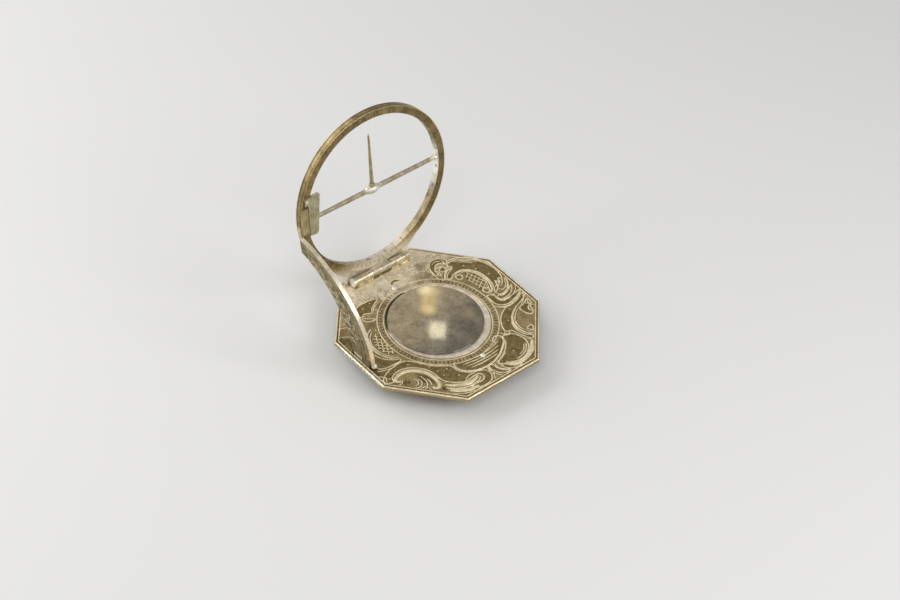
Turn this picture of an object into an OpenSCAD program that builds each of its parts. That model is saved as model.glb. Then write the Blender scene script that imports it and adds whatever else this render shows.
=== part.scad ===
// Folding universal sundial in brass: an octagonal plate with a sunk compass, a hinged hour ring
// with a turning gnomon, and a hinged latitude arc beside it.
// The origin is at the centre of the compass box's underside. +Z is up, +Y points to the hour
// ring's hinge, and the latitude arc's hinge lies along the -X edge.

/* [Base plate] */
// Width of the octagonal plate, the same along X and Y
plate_w = 60; // [58:0.5:66]
// Length along X that each corner of the plate is cut off by
corner_x = 16.4; // [15:0.1:18]
// Length along Y that each corner of the plate is cut off by
corner_y = 18.55; // [17:0.05:20]
// Thickness of the plate
plate_t = 1.3; // [1.1:0.1:1.8]
// Bevel along the plate's edges
plate_bevel = 0.2; // [0.1:0.05:0.3]
// Distance of the outer border line from the plate's edge
border_inset = 1.1; // [0.7:0.1:1.6]
// Distance between the two border lines
border_gap = 0.7; // [0.5:0.1:1.2]
// Width of an engraved line
line_w = 0.25; // [0.15:0.05:0.4]
// Depth of an engraved line
line_d = 0.12; // [0.05:0.01:0.2]

/* [Compass] */
// Depth of the compass box below the plate
box_depth = 6; // [5:0.5:8]
// Inside radius of the compass box
box_r = 14; // [13:0.25:15]
// Thickness of the box's round wall
box_wall = 0.7; // [0.5:0.1:1]
// Thickness of the box's floor
box_floor = 0.8; // [0.6:0.1:1.2]
// Rounding of the box's lower edge
box_round = 0.5; // [0.3:0.05:0.6]
// Width of the flange beyond the box rivets
flange_margin = 1.5; // [1:0.1:2]
// Thickness of the flange that holds the box under the plate
flange_t = 0.6; // [0.4:0.1:1]
// Distance of the two box rivets from the bezel's opening
rivet_margin = 3.2; // [3:0.1:3.5]
// Turn of the line through the two box rivets
rivet_turn = 4.4; // [0:0.1:8]
// Radius of a box rivet's shank
rivet_r = 0.5; // [0.4:0.05:0.7]
// Height of a rivet's domed head
rivet_head_h = 0.35; // [0.2:0.05:0.5]
// Radius of the compass glass beyond the inside of the box
glass_margin = 0.4; // [0.3:0.05:0.6]
// How far the loose glass lies off the centre, along X
glass_shift_x = -0.35; // [-0.4:0.05:0.4]
// How far the loose glass lies off the centre, along Y
glass_shift_y = 0.65; // [-0.65:0.05:0.65]
// Thickness of the glass
glass_t = 0.65; // [0.5:0.05:0.8]
// Bevel of the glass's edges
glass_bevel = 0.15; // [0.05:0.05:0.2]
// Depth of the glass's seat below the plate's top
seat_sink = 0.1; // [0:0.05:0.3]
// Width of the seat inside the opening of the box
seat_in = 0.8; // [0.6:0.05:1]
// Smallest clearance between the glass and the rim
glass_gap = 0.3; // [0.1:0.05:0.4]
// Width of the thin rim round the seat
rim_w = 0.25; // [0.2:0.05:0.5]
// Height of the rim above the plate
rim_h = 0.25; // [0.1:0.05:0.5]
// Thickness of the compass dial
rose_t = 0.4; // [0.3:0.1:0.8]
// Distance of the compass dial's degree ring from its edge
rose_margin = 0.8; // [0.5:0.1:1.2]
// Width of the degree ring on the compass dial
rose_scale_w = 1.5; // [1:0.1:2]
// Width of the degree ring on the plate, from the bezel's opening
degree_w = 2.3; // [1.8:0.1:2.6]
// Length of the needle
needle_len = 24; // [18:0.5:25]
// Widest part of the needle
needle_w = 1.7; // [1.2:0.1:2.5]
// Thickness of the needle
needle_t = 0.25; // [0.2:0.05:0.5]
// Width of the needle's arrow head and of the bar near its tail
arrow_w = 2.2; // [1.6:0.1:3]
// Length of the needle's arrow head
arrow_len = 3.2; // [2:0.1:4]
// Width of the needle's shaft near its ends
shaft_w = 0.6; // [0.4:0.05:0.8]
// Distance of the tail's bar from the needle's end
tail_len = 2; // [1.5:0.1:3]
// Height of the pivot above the compass dial
pivot_h = 3.1; // [2.6:0.1:3.4]
// Radius of the pivot's upper stem
pivot_r = 0.27; // [0.2:0.01:0.35]
// Radius of the pivot's foot
pivot_foot_r = 1.2; // [0.8:0.1:1.6]
// Height of the pivot's foot
pivot_foot_h = 0.35; // [0.2:0.05:0.5]
// Distance of the needle's underside below the pivot's point
needle_drop = 0.7; // [0.5:0.05:0.9]
// Outer radius of the needle's cap
cap_r = 0.85; // [0.7:0.05:1.2]
// Height of the needle's cap
cap_h = 1.1; // [0.9:0.1:1.4]
// Width of the rims of the needle's cap
cap_rim = 0.25; // [0.15:0.05:0.35]

/* [Hour ring] */
// Outer radius of the hour ring
ring_ro = 27.1; // [26.8:0.1:27.1]
// Radial width of the hour ring
ring_w = 2.5; // [2.2:0.1:3]
// Thickness of the hour ring along its axis
ring_t = 2.2; // [1.8:0.1:2.4]
// Distance from the ring's hinge to its centre
ring_reach = 28; // [27.8:0.1:28.5]
// Distance of the ring's middle plane from its hinge axis
ring_offset = 2.3; // [2.3:0.05:2.6]
// Angle of the opened ring above the plate, measured from outside
ring_angle = 81.3; // [75:0.1:90]

/* [Ring hinge] */
// Distance of the ring's hinge axis from the plate's edge
hinge_in = 3.4; // [3.1:0.1:3.5]
// Height of that axis above the plate
hinge_h = 1.65; // [1.65:0.05:1.9]
// Outer radius of the hinge knuckles
knuckle_r = 1.25; // [1.1:0.05:1.35]
// Radius of the hinge pin
hinge_pin_r = 0.6; // [0.4:0.05:0.7]
// Radius of the pin's flat head
hinge_head_r = 1.4; // [1.2:0.05:1.45]
// Thickness of the pin's flat head
hinge_head_t = 0.4; // [0.2:0.05:0.6]
// Left end of the hinge
hinge_x0 = -11; // [-12:0.5:-10]
// Left end of the ring's own knuckle
hinge_x1 = -4; // [-5:0.5:-3]
// Right end of the ring's own knuckle
hinge_x2 = 3; // [2:0.5:4]
// Right end of the hinge
hinge_x3 = 9.8; // [9:0.1:11]
// Thickness of the leaves that are soldered to the plate
leaf_t = 0.3; // [0.2:0.05:0.4]
// Width of the bracket's leaf in front of the hinge axis
leaf_reach = 1.5; // [1.4:0.1:2.1]
// How much narrower than its knuckles the bracket's wall is on each side
cheek_inset = 0.15; // [0.05:0.05:0.3]
// Thickness of the foot that joins the ring to its knuckle
foot_t = 1.2; // [1:0.1:1.2]
// Left end of the foot
foot_x0 = -12.5; // [-13:0.1:-12]
// Right end of the foot
foot_x1 = 11.4; // [11:0.1:12.5]
// How far the foot's heel reaches below the hinge axis
heel = 1.12; // [0.9:0.02:1.16]
// Height of the foot's square ends above the hinge axis
foot_step = 1.6; // [1.2:0.1:2.2]
// How far the foot's sloping shoulders reach beyond its ends
shoulder_out = 2.8; // [2:0.1:3.4]
// Height of the shoulders above the hinge axis
shoulder_h = 4; // [3.6:0.1:4.6]
// Thickness of the tongue between the foot and its knuckle
tongue_t = 1.8; // [1.2:0.1:2.2]

/* [Cross bar and gnomon] */
// Distance across the flats of the cross bar near its hub
bar_w = 1.5; // [1.3:0.1:1.7]
// Distance across the flats of the cross bar at its thin ends
bar_end_w = 1.25; // [1.1:0.05:1.4]
// Side of the square end that the spring leaf presses on
square_w = 1.1; // [0.9:0.05:1.1]
// Length of the square end
square_len = 3.5; // [3:0.1:4.5]
// Distance of the bar's axis in front of the ring's middle plane
bar_shift = 0.28; // [0:0.02:0.3]
// Clearance at each end of the bar inside the ring
bar_gap = 0.3; // [0.1:0.05:0.5]
// Radius of the bar's journals
journal_r = 0.45; // [0.35:0.05:0.55]
// Length of a journal inside the ring
journal_len = 1.9; // [1.4:0.1:2.1]
// Radius of the collar at the bar's right end
collar_r = 0.95; // [0.8:0.05:1.1]
// Length of that collar
collar_len = 0.8; // [0.5:0.1:1.2]
// Radius of the hub in the middle of the bar
hub_r = 1.4; // [1.2:0.05:1.6]
// Length of the hub
hub_len = 5; // [4:0.25:6]
// Length of the gnomon from the bar's axis to its tip
gnomon_len = 19.4; // [15:0.1:22]
// Radius of the gnomon at its foot
gnomon_r = 0.62; // [0.5:0.02:0.8]
// Radius of the gnomon just below its point
gnomon_tip_r = 0.3; // [0.2:0.05:0.5]
// Length of the gnomon's point
gnomon_point = 0.8; // [0.4:0.1:1.5]
// Width and height of the small collar at the gnomon's foot
gnomon_collar = 0.3; // [0.15:0.05:0.4]
// Radius of the tenon that seats the gnomon in the hub
tenon_r = 0.4; // [0.3:0.05:0.5]

/* [Detent] */
// Thickness of the spring leaf
spring_t = 0.4; // [0.3:0.05:0.5]
// Left edge of the spring leaf's pad, from the ring's centre
spring_x0 = -25.3; // [-25.6:0.1:-25]
// Right edge of the spring leaf at its top, from the ring's centre
spring_x1 = -19.8; // [-20.4:0.1:-19.5]
// How much the right edge leans to the left towards its lower end
spring_taper = 1.4; // [0:0.1:1.6]
// Lower end of the spring leaf, from the bar's axis
spring_low = -4.9; // [-5.5:0.1:-4]
// Upper end of the spring leaf, from the bar's axis
spring_top = 9; // [8.5:0.1:9.5]
// Length of the leaf's bevelled corners
spring_corner = 0.6; // [0.3:0.05:0.7]
// Width of the leaf's tab above its pad
spring_tab = 2.9; // [2.5:0.1:3.2]
// Height of the spring's rivet above the bar's axis
spring_rivet_y = 7.3; // [7:0.1:8]
// Distance of the spring's rivet from the ring's centre line
spring_rivet_x = -24.4; // [-24.6:0.1:-24.3]
// Half height of the pad round the spring's rivet
spring_pad = 1.2; // [1:0.1:1.3]
// Length of the spring rivet's shank
spring_rivet_len = 1.2; // [1:0.1:1.5]
// Thickness of the bearing block on the ring's face
block_t = 0.5; // [0.4:0.05:0.5]
// Upper end of the bearing block, from the bar's axis
block_top = 5.3; // [4.5:0.1:5.6]
// Lower end of the bearing block, from the bar's axis
block_low = -3.4; // [-5:0.1:-2]
// Clearance between the block and the spring leaf
block_gap = 0.3; // [0.2:0.05:0.5]
// How far the block stands over the ring's inner edge
block_over = 0.1; // [0.05:0.05:0.2]
// Radius of the small rivets on the ring
small_rivet_r = 0.3; // [0.25:0.05:0.4]

/* [Latitude index] */
// Thickness of the index blade
index_t = 0.35; // [0.25:0.05:0.4]
// Width of the index blade
index_w = 1.4; // [1:0.1:1.8]
// Upper end of the index blade, from the bar's axis
index_top = -0.9; // [-1.5:0.1:-0.5]
// Lower end of the index blade, from the bar's axis
index_low = -9.3; // [-10:0.1:-8]
// Lower end of the pad that seats the blade on the ring
index_pad = -4.6; // [-5:0.1:-4]
// Depth of the pad in the ring's edge
index_seat = 1; // [0.7:0.1:1.2]
// How far the blade leans inwards at its lower end
index_lean = 0.65; // [0.3:0.05:0.8]
// Length of the blade's slanted point
index_point = 0.8; // [0.4:0.1:1.2]
// Distance of the blade's middle in front of the ring's middle plane
index_shift = 0.3; // [0:0.05:0.35]
// Distance of the blade's rivet below the blade's upper end
index_rivet_drop = 1; // [0.8:0.1:1.5]

/* [Latitude arc] */
// Outer radius of the arc, about the ring's hinge
arc_ro = 31.2; // [30:0.1:32]
// Radius of the arc's inner edge
arc_ri = 26.6; // [26:0.1:27.5]
// How far the inner edge's centre lies beyond the ring's hinge
arc_taper = 4.5; // [4:0.1:5]
// Thickness of the arc
arc_t = 1.2; // [0.9:0.05:1.2]
// Clear distance from the arc's tip to the ring's hinge axis
arc_tip_gap = 1.7; // [1.6:0.1:3]
// Angle that the opened arc leans outwards
arc_lean = 7.7; // [0:0.1:8]
// Distance of the arc's hinge axis from the plate's edge
arc_hinge_in = 2.45; // [2.2:0.05:2.45]
// Height of the arc's hinge axis above the plate
arc_hinge_h = 1.0; // [1:0.05:1.1]
// Outer radius of the arc's knuckles
arc_knuckle_r = 0.9; // [0.8:0.02:0.92]
// Radius of the arc's hinge pin
arc_pin_r = 0.42; // [0.3:0.02:0.5]
// Radius of the ball on the end of that pin
arc_ball_r = 0.85; // [0.6:0.05:0.9]
// Distance of the ball's middle from the knuckle's end
ball_place = 0.75; // [0.7:0.05:0.9]
// Clearance between that ball and the arc above it
ball_gap = 0.15; // [0.1:0.05:0.3]
// Near end of the arc's hinge
arc_y0 = -3.2; // [-4:0.1:-3]
// Near end of the knuckle on the plate
arc_y1 = 0.2; // [-0.5:0.1:0.5]
// Far end of the knuckle on the plate
arc_y2 = 4.6; // [4:0.1:5]
// Far end of the arc's hinge
arc_y3 = 8; // [7:0.1:9]
// Height of the arc's plinth above its hinge axis
plinth_h = 1.9; // [1.6:0.1:2.4]
// How far the arc's plinth reaches below its hinge axis
plinth_low = 0.8; // [0.6:0.05:0.85]
// Half width of the wall that carries the knuckle on the plate
arc_wall = 0.7; // [0.5:0.05:0.8]
// Clearance between the knuckle on the plate and the arc's notch
notch_gap = 0.25; // [0.15:0.05:0.4]
// Distance of the scale's outer line from the arc's outer edge
scale_margin = 0.5; // [0.3:0.1:0.8]
// Width of the engraved degree scale
scale_w = 2.2; // [1.6:0.1:2.6]
// Distance of the scale's end from the arc's tip
scale_end = 0.4; // [0.2:0.1:0.8]

/* [Fits] */
// Radial running clearance of pins and journals
run_gap = 0.04; // [0.02:0.01:0.06]
// Radial clearance of pieces that are held fast
seat_gap = 0.01; // [0.01:0.01:0.03]
// Clearance between hinge knuckles along their axis
side_gap = 0.1; // [0.05:0.05:0.2]

/* [Hidden] */
$fn = 180;
cut = 0.5;                                  // how far a cutter runs past the face it opens
gilt = [0.62, 0.53, 0.34];
old_brass = [0.50, 0.43, 0.27];
pale_brass = [0.74, 0.69, 0.56];
silvered = [0.60, 0.57, 0.50];
plate_top = box_depth + plate_t;
hinge_z = plate_top + hinge_h;
hinge_y = plate_w / 2 - hinge_in;
arc_hinge_x = plate_w / 2 - arc_hinge_in;
arc_hinge_z = plate_top + arc_hinge_h;
glass_r = box_r + glass_margin;
rim_in_r = glass_r + norm([glass_shift_x, glass_shift_y]) + glass_gap;
bezel_hole_r = rim_in_r + rim_w;
rivet_place = bezel_hole_r + rivet_margin;
flange_r = rivet_place + flange_margin;
degree_r = bezel_hole_r + degree_w;
needle_z = box_floor + rose_t + pivot_h - needle_drop;
ring_ri = ring_ro - ring_w;
bar_half = ring_ri - bar_gap;               // half length of the bar between its journals
bar_start = hub_len / 2;
head_ratio = 1.6;                           // a rivet head's radius by its shank's radius
block_x = -ring_ri + block_over;
arc_top_y = hinge_y - arc_tip_gap;
arc_centre_h = hinge_z - arc_hinge_z;
corner_cut = norm([corner_x, corner_y]);
corner_turn = atan2(corner_x, corner_y);
corner_far = (plate_w / 2 * (corner_x + corner_y) - corner_x * corner_y) / corner_cut;

// Half lengths of the plate's edges, along X and along Y, for an outline that lies inset from it
function edge_x(inset) = plate_w / 2 - corner_x - inset * (corner_cut - corner_x) / corner_y;
function edge_y(inset) = plate_w / 2 - corner_y - inset * (corner_cut - corner_y) / corner_x;

// The plate's eight-sided outline, inset by a distance that is the same on all sides
module plate_outline(inset) {
    w = plate_w / 2 - inset;
    x = edge_x(inset);
    y = edge_y(inset);
    polygon([[x, w], [w, y], [w, -y], [x, -w], [-x, -w], [-w, -y], [-w, y], [-x, w]]);
}

// A line of the engraving that follows the plate's edge
module border_line(inset) {
    difference() {
        plate_outline(inset);
        plate_outline(inset + line_w);
    }
}

// A flat ring from r1 to r2
module flat_ring(r1, r2) {
    difference() {
        circle(r = r2);
        circle(r = r1);
    }
}

// Places its children in the frame of the opened hour ring: X along the hinge, Y up the
// ring and Z out of its front face, from the hinge axis
module ring_frame() {
    translate([0, hinge_y, hinge_z]) rotate([ring_angle, 0, 0]) children();
}

// Places its children at the ring's centre, in the ring's middle plane
module ring_centre() {
    ring_frame() translate([0, ring_reach, -ring_offset]) children();
}

// Places its children on the bar's axis, which lies a little in front of that plane
module bar_frame() {
    ring_centre() translate([0, 0, bar_shift]) children();
}

// Places its children in the frame of the opened latitude arc, from its hinge axis
module arc_frame() {
    translate([-arc_hinge_x, 0, arc_hinge_z]) rotate([0, -arc_lean, 0]) children();
}

// Turns an outline drawn in Y and Z into a plate of thickness t that grows along +X
module side_plate(t) {
    rotate([90, 0, 90]) linear_extrude(t) children();
}

// A round bar along X from x1 to x2
module bar_x(x1, x2, r) {
    translate([x1, 0, 0]) rotate([0, 90, 0]) cylinder(r = r, h = x2 - x1);
}

// A round bar along Y from y1 to y2
module bar_y(y1, y2, r) {
    translate([0, y1, 0]) rotate([-90, 0, 0]) cylinder(r = r, h = y2 - y1);
}

// A rivet with its shank along Z from -len to 0 and a domed head on top
module rivet(r, len, head_h) {
    head_r = head_ratio * r;
    dome_r = (head_r * head_r + head_h * head_h) / (2 * head_h);
    rotate_extrude() {
        translate([0, -len]) square([r, len]);
        intersection() {
            translate([0, head_h - dome_r]) circle(r = dome_r);
            square([head_r, head_h]);
        }
    }
}

// Cutter for the bevel along one side of the plate, at a distance from the centre
module edge_bevel(far, z) {
    translate([far, 0, z]) rotate([0, 45, 0])
        cube([plate_bevel * sqrt(2), plate_w, plate_bevel * sqrt(2)], center = true);
}

// Places its children at the two rivets beside the compass
module rivet_pair() {
    for (turn = [rivet_turn, rivet_turn + 180]) rotate(turn) translate([0, rivet_place, 0]) children();
}

// Octagonal plate with bevelled edges, its compass opening and the engraved border
module base_plate() color(old_brass) translate([0, 0, box_depth]) difference() {
    linear_extrude(plate_t) plate_outline(0);
    for (quarter = [0:3], z = [0, plate_t]) {
        corner = quarter % 2 == 0 ? corner_turn : 90 - corner_turn;
        rotate(90 * quarter) edge_bevel(plate_w / 2, z);
        rotate(90 * quarter + corner) edge_bevel(corner_far, z);
    }
    translate([0, 0, -cut]) cylinder(r = bezel_hole_r, h = plate_t + 2 * cut);
    rivet_pair() translate([0, 0, -cut]) cylinder(r = rivet_r + seat_gap, h = plate_t + 2 * cut);
    translate([0, 0, plate_t - line_d]) linear_extrude(line_d + cut) {
        border_line(border_inset);
        border_line(border_inset + border_gap);
        flat_ring(degree_r - line_w, degree_r);
        flat_ring(bezel_hole_r + line_w, bezel_hole_r + 2 * line_w);
    }
}

// Drawn cup below the plate, with a flange that the two rivets hold
module compass_box() color(old_brass) difference() {
    rotate_extrude() difference() {
        union() {
            square([box_r + box_wall - box_round, box_floor]);
            translate([box_r + box_wall - box_round, box_round]) circle(r = box_round);
            translate([box_r, box_round]) square([box_wall, box_depth - box_round]);
            translate([box_r, box_depth - flange_t]) square([flange_r - box_r, flange_t]);
        }
        translate([0, box_floor]) square([box_r, box_depth]);
        for (r = [0.55, 0.8]) translate([r * box_r, -cut]) square([line_w, cut + line_d]);
    }
    rivet_pair() cylinder(r = rivet_r + seat_gap, h = box_depth + cut);
}

// The two rivets of the compass box, domed above the plate and flat below the flange
module compass_rivets() color(pale_brass) rivet_pair() translate([0, 0, plate_top]) {
    rivet(rivet_r, plate_t + flange_t, rivet_head_h);
    translate([0, 0, -plate_t - flange_t - rivet_head_h])
        cylinder(r = head_ratio * rivet_r, h = rivet_head_h);
}

// Silvered dial on the floor of the box, with the lines of its degree ring
module compass_rose() color(silvered) translate([0, 0, box_floor]) difference() {
    cylinder(r = box_r - side_gap, h = rose_t);
    translate([0, 0, rose_t - line_d]) linear_extrude(line_d + cut) {
        for (r = [box_r - rose_margin, box_r - rose_margin - rose_scale_w])
            flat_ring(r - line_w, r);
    }
}

// Turned pivot that stands on the dial and carries the needle
module needle_pivot() color(pale_brass) translate([0, 0, box_floor + rose_t])
    rotate_extrude() polygon([
        [0, 0], [pivot_foot_r, 0], [pivot_foot_r, pivot_foot_h], [2 * pivot_r, 2 * pivot_foot_h],
        [1.4 * pivot_r, pivot_h / 2], [pivot_r, pivot_h / 2 + pivot_r],
        [pivot_r, pivot_h - pivot_r], [0, pivot_h]
    ]);

// Left half of the needle's outline, from its tip to its tail
needle_side = [
    [0, needle_len / 2], [-arrow_w / 2, needle_len / 2 - arrow_len],
    [-shaft_w / 2, needle_len / 2 - 0.85 * arrow_len], [-needle_w / 2, 0],
    [-shaft_w / 2, tail_len - needle_len / 2], [-shaft_w / 2, -needle_len / 2]
];

// Needle with an arrow head to the north and a barred tail
module compass_needle() color([0.30, 0.31, 0.34]) translate([0, 0, needle_z])
    linear_extrude(needle_t) difference() {
        union() {
            polygon(concat(needle_side, [for (i = [len(needle_side) - 1:-1:1])
                [-needle_side[i][0], needle_side[i][1]]]));
            translate([-arrow_w / 2, tail_len - needle_len / 2]) square([arrow_w, line_w + 0.2]);
            circle(r = cap_r + cap_rim + 0.2);
        }
        circle(r = cap_r + seat_gap);
    }

// Turned cap in the needle's middle, hollow below to ride on the pivot
module needle_cap() color(gilt) translate([0, 0, needle_z]) rotate_extrude() polygon([
    [pivot_r + run_gap, 0], [cap_r, 0], [cap_r, needle_t], [cap_r + cap_rim, needle_t],
    [cap_r + cap_rim, needle_t + cap_rim], [cap_r - cap_rim / 2, needle_t + cap_rim],
    [cap_r - cap_rim / 2, cap_h - cap_rim], [cap_r - 1.5 * cap_rim, cap_h], [0, cap_h],
    [0, needle_drop + run_gap], [pivot_r + run_gap, needle_drop - pivot_r]
]);

// Flat pale ring on which the glass lies
module glass_seat() color(silvered) translate([0, 0, box_depth])
    linear_extrude(plate_t - seat_sink) flat_ring(box_r - seat_in, rim_in_r - seat_gap);

// Flat glass with a ground edge; it lies loose, a little off the centre
module compass_glass() color([0.75, 0.74, 0.68, 0.6])
    translate([glass_shift_x, glass_shift_y, plate_top - seat_sink]) rotate_extrude() polygon([
        [0, 0], [glass_r - glass_bevel, 0], [glass_r, glass_bevel],
        [glass_r, glass_t - glass_bevel], [glass_r - glass_bevel, glass_t], [0, glass_t]
    ]);

// Thin turned rim round the seat, with a skirt in the plate's opening
module bezel_ring() color(silvered) translate([0, 0, plate_top]) rotate_extrude() {
    foot_r = bezel_hole_r - seat_gap;
    polygon([
        [rim_in_r, -plate_t], [foot_r, -plate_t], [foot_r, rim_h / 2],
        [foot_r - rim_w / 3, rim_h], [rim_in_r + rim_w / 3, rim_h], [rim_in_r, 2 * rim_h / 3]
    ]);
}

// Two knuckles of the ring's hinge on a leaf that is soldered to the plate
module ring_hinge_bracket() color(pale_brass) difference() {
    union() {
        for (ends = [[hinge_x0, hinge_x1], [hinge_x2, hinge_x3]]) {
            translate([0, hinge_y, hinge_z]) bar_x(ends[0], ends[1], knuckle_r);
            translate([ends[0], hinge_y - knuckle_r + cheek_inset, plate_top])
                cube([ends[1] - ends[0], 2 * (knuckle_r - cheek_inset), hinge_h]);
        }
        translate([hinge_x0, hinge_y - leaf_reach, plate_top])
            cube([hinge_x3 - hinge_x0, leaf_reach + knuckle_r - cheek_inset, leaf_t]);
    }
    translate([0, hinge_y, hinge_z])
        bar_x(hinge_x0 - cut, hinge_x3 + cut, hinge_pin_r + seat_gap);
}

// Hinge pin of the ring, with a flat head on the left and a rounded end on the right
module ring_hinge_pin() color(pale_brass) translate([0, hinge_y, hinge_z]) {
    bar_x(hinge_x0, hinge_x3, hinge_pin_r);
    bar_x(hinge_x0 - hinge_head_t, hinge_x0, hinge_head_r);
    translate([hinge_x3, 0, 0]) rotate([0, 90, 0])
        rivet(hinge_pin_r, hinge_pin_r, hinge_head_t);
}

// Knuckle of the arc's hinge on its own leaf near the plate's edge
module arc_hinge_bracket() color(pale_brass) difference() {
    translate([-arc_hinge_x, 0, 0]) {
        translate([0, 0, arc_hinge_z])
            bar_y(arc_y1 + side_gap, arc_y2 - side_gap, arc_knuckle_r);
        translate([-arc_wall, arc_y1 + side_gap, plate_top])
            cube([2 * arc_wall, arc_y2 - arc_y1 - 2 * side_gap, arc_hinge_h]);
    }
    translate([-arc_hinge_x, 0, arc_hinge_z])
        bar_y(arc_y1 - cut, arc_y2 + cut, arc_pin_r + seat_gap);
}

// Pin of the arc's hinge, with a ball on its near end
module arc_hinge_pin() color(pale_brass) translate([-arc_hinge_x, 0, arc_hinge_z]) {
    bar_y(arc_y0 - ball_place, arc_y3 + side_gap, arc_pin_r);
    translate([0, arc_y0 - side_gap - ball_place, 0]) sphere(r = arc_ball_r);
    translate([0, arc_y3 + side_gap, 0]) rotate([-90, 0, 0])
        rivet(arc_pin_r, arc_pin_r, hinge_head_t / 2);
}

// Hour ring, with the bearings of the cross bar and a turned line round its outside
module hour_ring() color(gilt) ring_centre() difference() {
    translate([0, 0, -ring_t / 2]) linear_extrude(ring_t) flat_ring(ring_ri, ring_ro);
    for (side = [0, 1]) mirror([0, 0, side]) translate([0, 0, ring_t / 2 - 2 * line_w])
        linear_extrude(line_w) flat_ring(ring_ro - line_d, ring_ro + cut);
    translate([0, 0, bar_shift]) {
        bar_x(-ring_ri - journal_len, -ring_ri + cut, journal_r + run_gap);
        bar_x(ring_ri - cut, ring_ri + journal_len, journal_r + run_gap);
    }
    translate([spring_rivet_x, spring_rivet_y, 0])
        cylinder(r = small_rivet_r + seat_gap, h = ring_t);
    translate([0, index_top - index_rivet_drop, index_shift])
        bar_x(-ring_ro - cut, -ring_ro + index_seat, small_rivet_r + seat_gap);
}

// Foot of the ring: a flat web under the rim, its heel and the middle knuckle
module ring_foot() color(gilt) ring_frame() difference() {
    union() {
        translate([0, 0, -ring_offset - foot_t / 2]) linear_extrude(foot_t) polygon([
            [foot_x0, -heel], [foot_x1, -heel], [foot_x1, foot_step],
            [foot_x1 + shoulder_out, shoulder_h], [foot_x1 + 2 * shoulder_out, 2 * shoulder_h],
            [foot_x0 - 2 * shoulder_out, 2 * shoulder_h], [foot_x0 - shoulder_out, shoulder_h],
            [foot_x0, foot_step]
        ]);
        bar_x(hinge_x1 + side_gap, hinge_x2 - side_gap, knuckle_r);
        translate([hinge_x1 + side_gap, -tongue_t / 2, -ring_offset])
            cube([hinge_x2 - hinge_x1 - 2 * side_gap, tongue_t, ring_offset]);
    }
    translate([0, ring_reach, -ring_offset - ring_t])
        cylinder(r = ring_ro, h = 2 * ring_t + ring_offset);
    bar_x(hinge_x1 - cut, hinge_x2 + cut, hinge_pin_r + run_gap);
}

// Thin spring leaf across the square end of the bar
module detent_spring() color(pale_brass) ring_centre() difference() {
    low_x = spring_x1 - spring_taper;
    tab_x = spring_x1 - spring_tab;
    translate([0, 0, ring_t / 2]) linear_extrude(spring_t) polygon([
        [spring_x0, spring_rivet_y - spring_pad], [block_x + block_gap, spring_rivet_y - spring_pad],
        [block_x + block_gap, spring_low + spring_corner / 2], [low_x - spring_corner, spring_low],
        [low_x, spring_low + spring_corner], [spring_x1, spring_top - spring_corner],
        [spring_x1 - spring_corner, spring_top], [tab_x, spring_top],
        [tab_x - spring_corner, spring_top - spring_corner],
        [spring_x0, spring_rivet_y + 0.8 * spring_pad]
    ]);
    translate([spring_rivet_x, spring_rivet_y, 0])
        cylinder(r = small_rivet_r + seat_gap, h = ring_t);
}

// Block on the ring's face over the bar's bearing
module detent_block() color(gilt) ring_centre() translate([0, 0, ring_t / 2])
    linear_extrude(block_t) intersection() {
        circle(r = ring_ro - block_over);
        translate([-ring_ro, block_low]) square([block_x + ring_ro, block_top - block_low]);
    }

// Rivet of the spring leaf
module spring_rivet() color(pale_brass) ring_centre()
    translate([spring_rivet_x, spring_rivet_y, ring_t / 2 + spring_t])
    rivet(small_rivet_r, spring_rivet_len, block_t - spring_t);

// Blade on the ring's left edge that points to the arc's scale
module latitude_index() color(pale_brass) ring_centre() translate([0, 0, index_shift])
    difference() {
        translate([0, 0, -index_w / 2]) linear_extrude(index_w) difference() {
            polygon([
                [-ring_ro - index_t, index_top], [-ring_ro + index_seat, index_top],
                [-ring_ro + index_seat, index_pad], [-ring_ro + index_lean, index_low],
                [-ring_ro + index_lean - index_t, index_low + index_point]
            ]);
            circle(r = ring_ro);
        }
        translate([0, index_top - index_rivet_drop, 0])
            bar_x(-ring_ro - cut, -ring_ro + index_seat, small_rivet_r + seat_gap);
    }

// Flush rivet of the index blade
module index_rivet() color(pale_brass) ring_centre()
    translate([0, index_top - index_rivet_drop, index_shift])
    bar_x(-ring_ro - index_t, -ring_ro + index_seat - side_gap, small_rivet_r);

// A straight bar with eight flats along X, from x1 to x2
module flats_x(x1, x2, across) {
    translate([x1, 0, 0]) rotate([0, 90, 0]) linear_extrude(x2 - x1)
        rotate(22.5) circle(d = across / cos(22.5), $fn = 8);
}

// Cross bar with its hub, collar, square end and journals
module cross_bar() color(pale_brass) bar_frame() difference() {
    union() {
        hull() {
            flats_x(-bar_half + square_len, -bar_half + square_len + side_gap, bar_end_w);
            flats_x(-bar_start, -bar_start + side_gap, bar_w);
        }
        hull() {
            flats_x(bar_start - side_gap, bar_start, bar_w);
            flats_x(bar_half - side_gap, bar_half, bar_end_w);
        }
        rotate([0, 90, 0]) rotate_extrude() intersection() {
            hub_curve = (bar_start ^ 2 + (hub_r - bar_w / 2) ^ 2) / (2 * (hub_r - bar_w / 2));
            translate([hub_r - hub_curve, 0]) circle(r = hub_curve);
            translate([0, -bar_start]) square([hub_r, hub_len]);
        }
        translate([-bar_half, -square_w / 2, -square_w / 2])
            cube([square_len, square_w, square_w]);
        bar_x(bar_half - collar_len, bar_half, collar_r);
        bar_x(-ring_ri - journal_len + side_gap, -bar_half + cut, journal_r);
        bar_x(bar_half - cut, ring_ri + journal_len - side_gap, journal_r);
    }
    rotate([-90, 0, 0]) cylinder(r = tenon_r + seat_gap, h = hub_r + cut);
}

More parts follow.
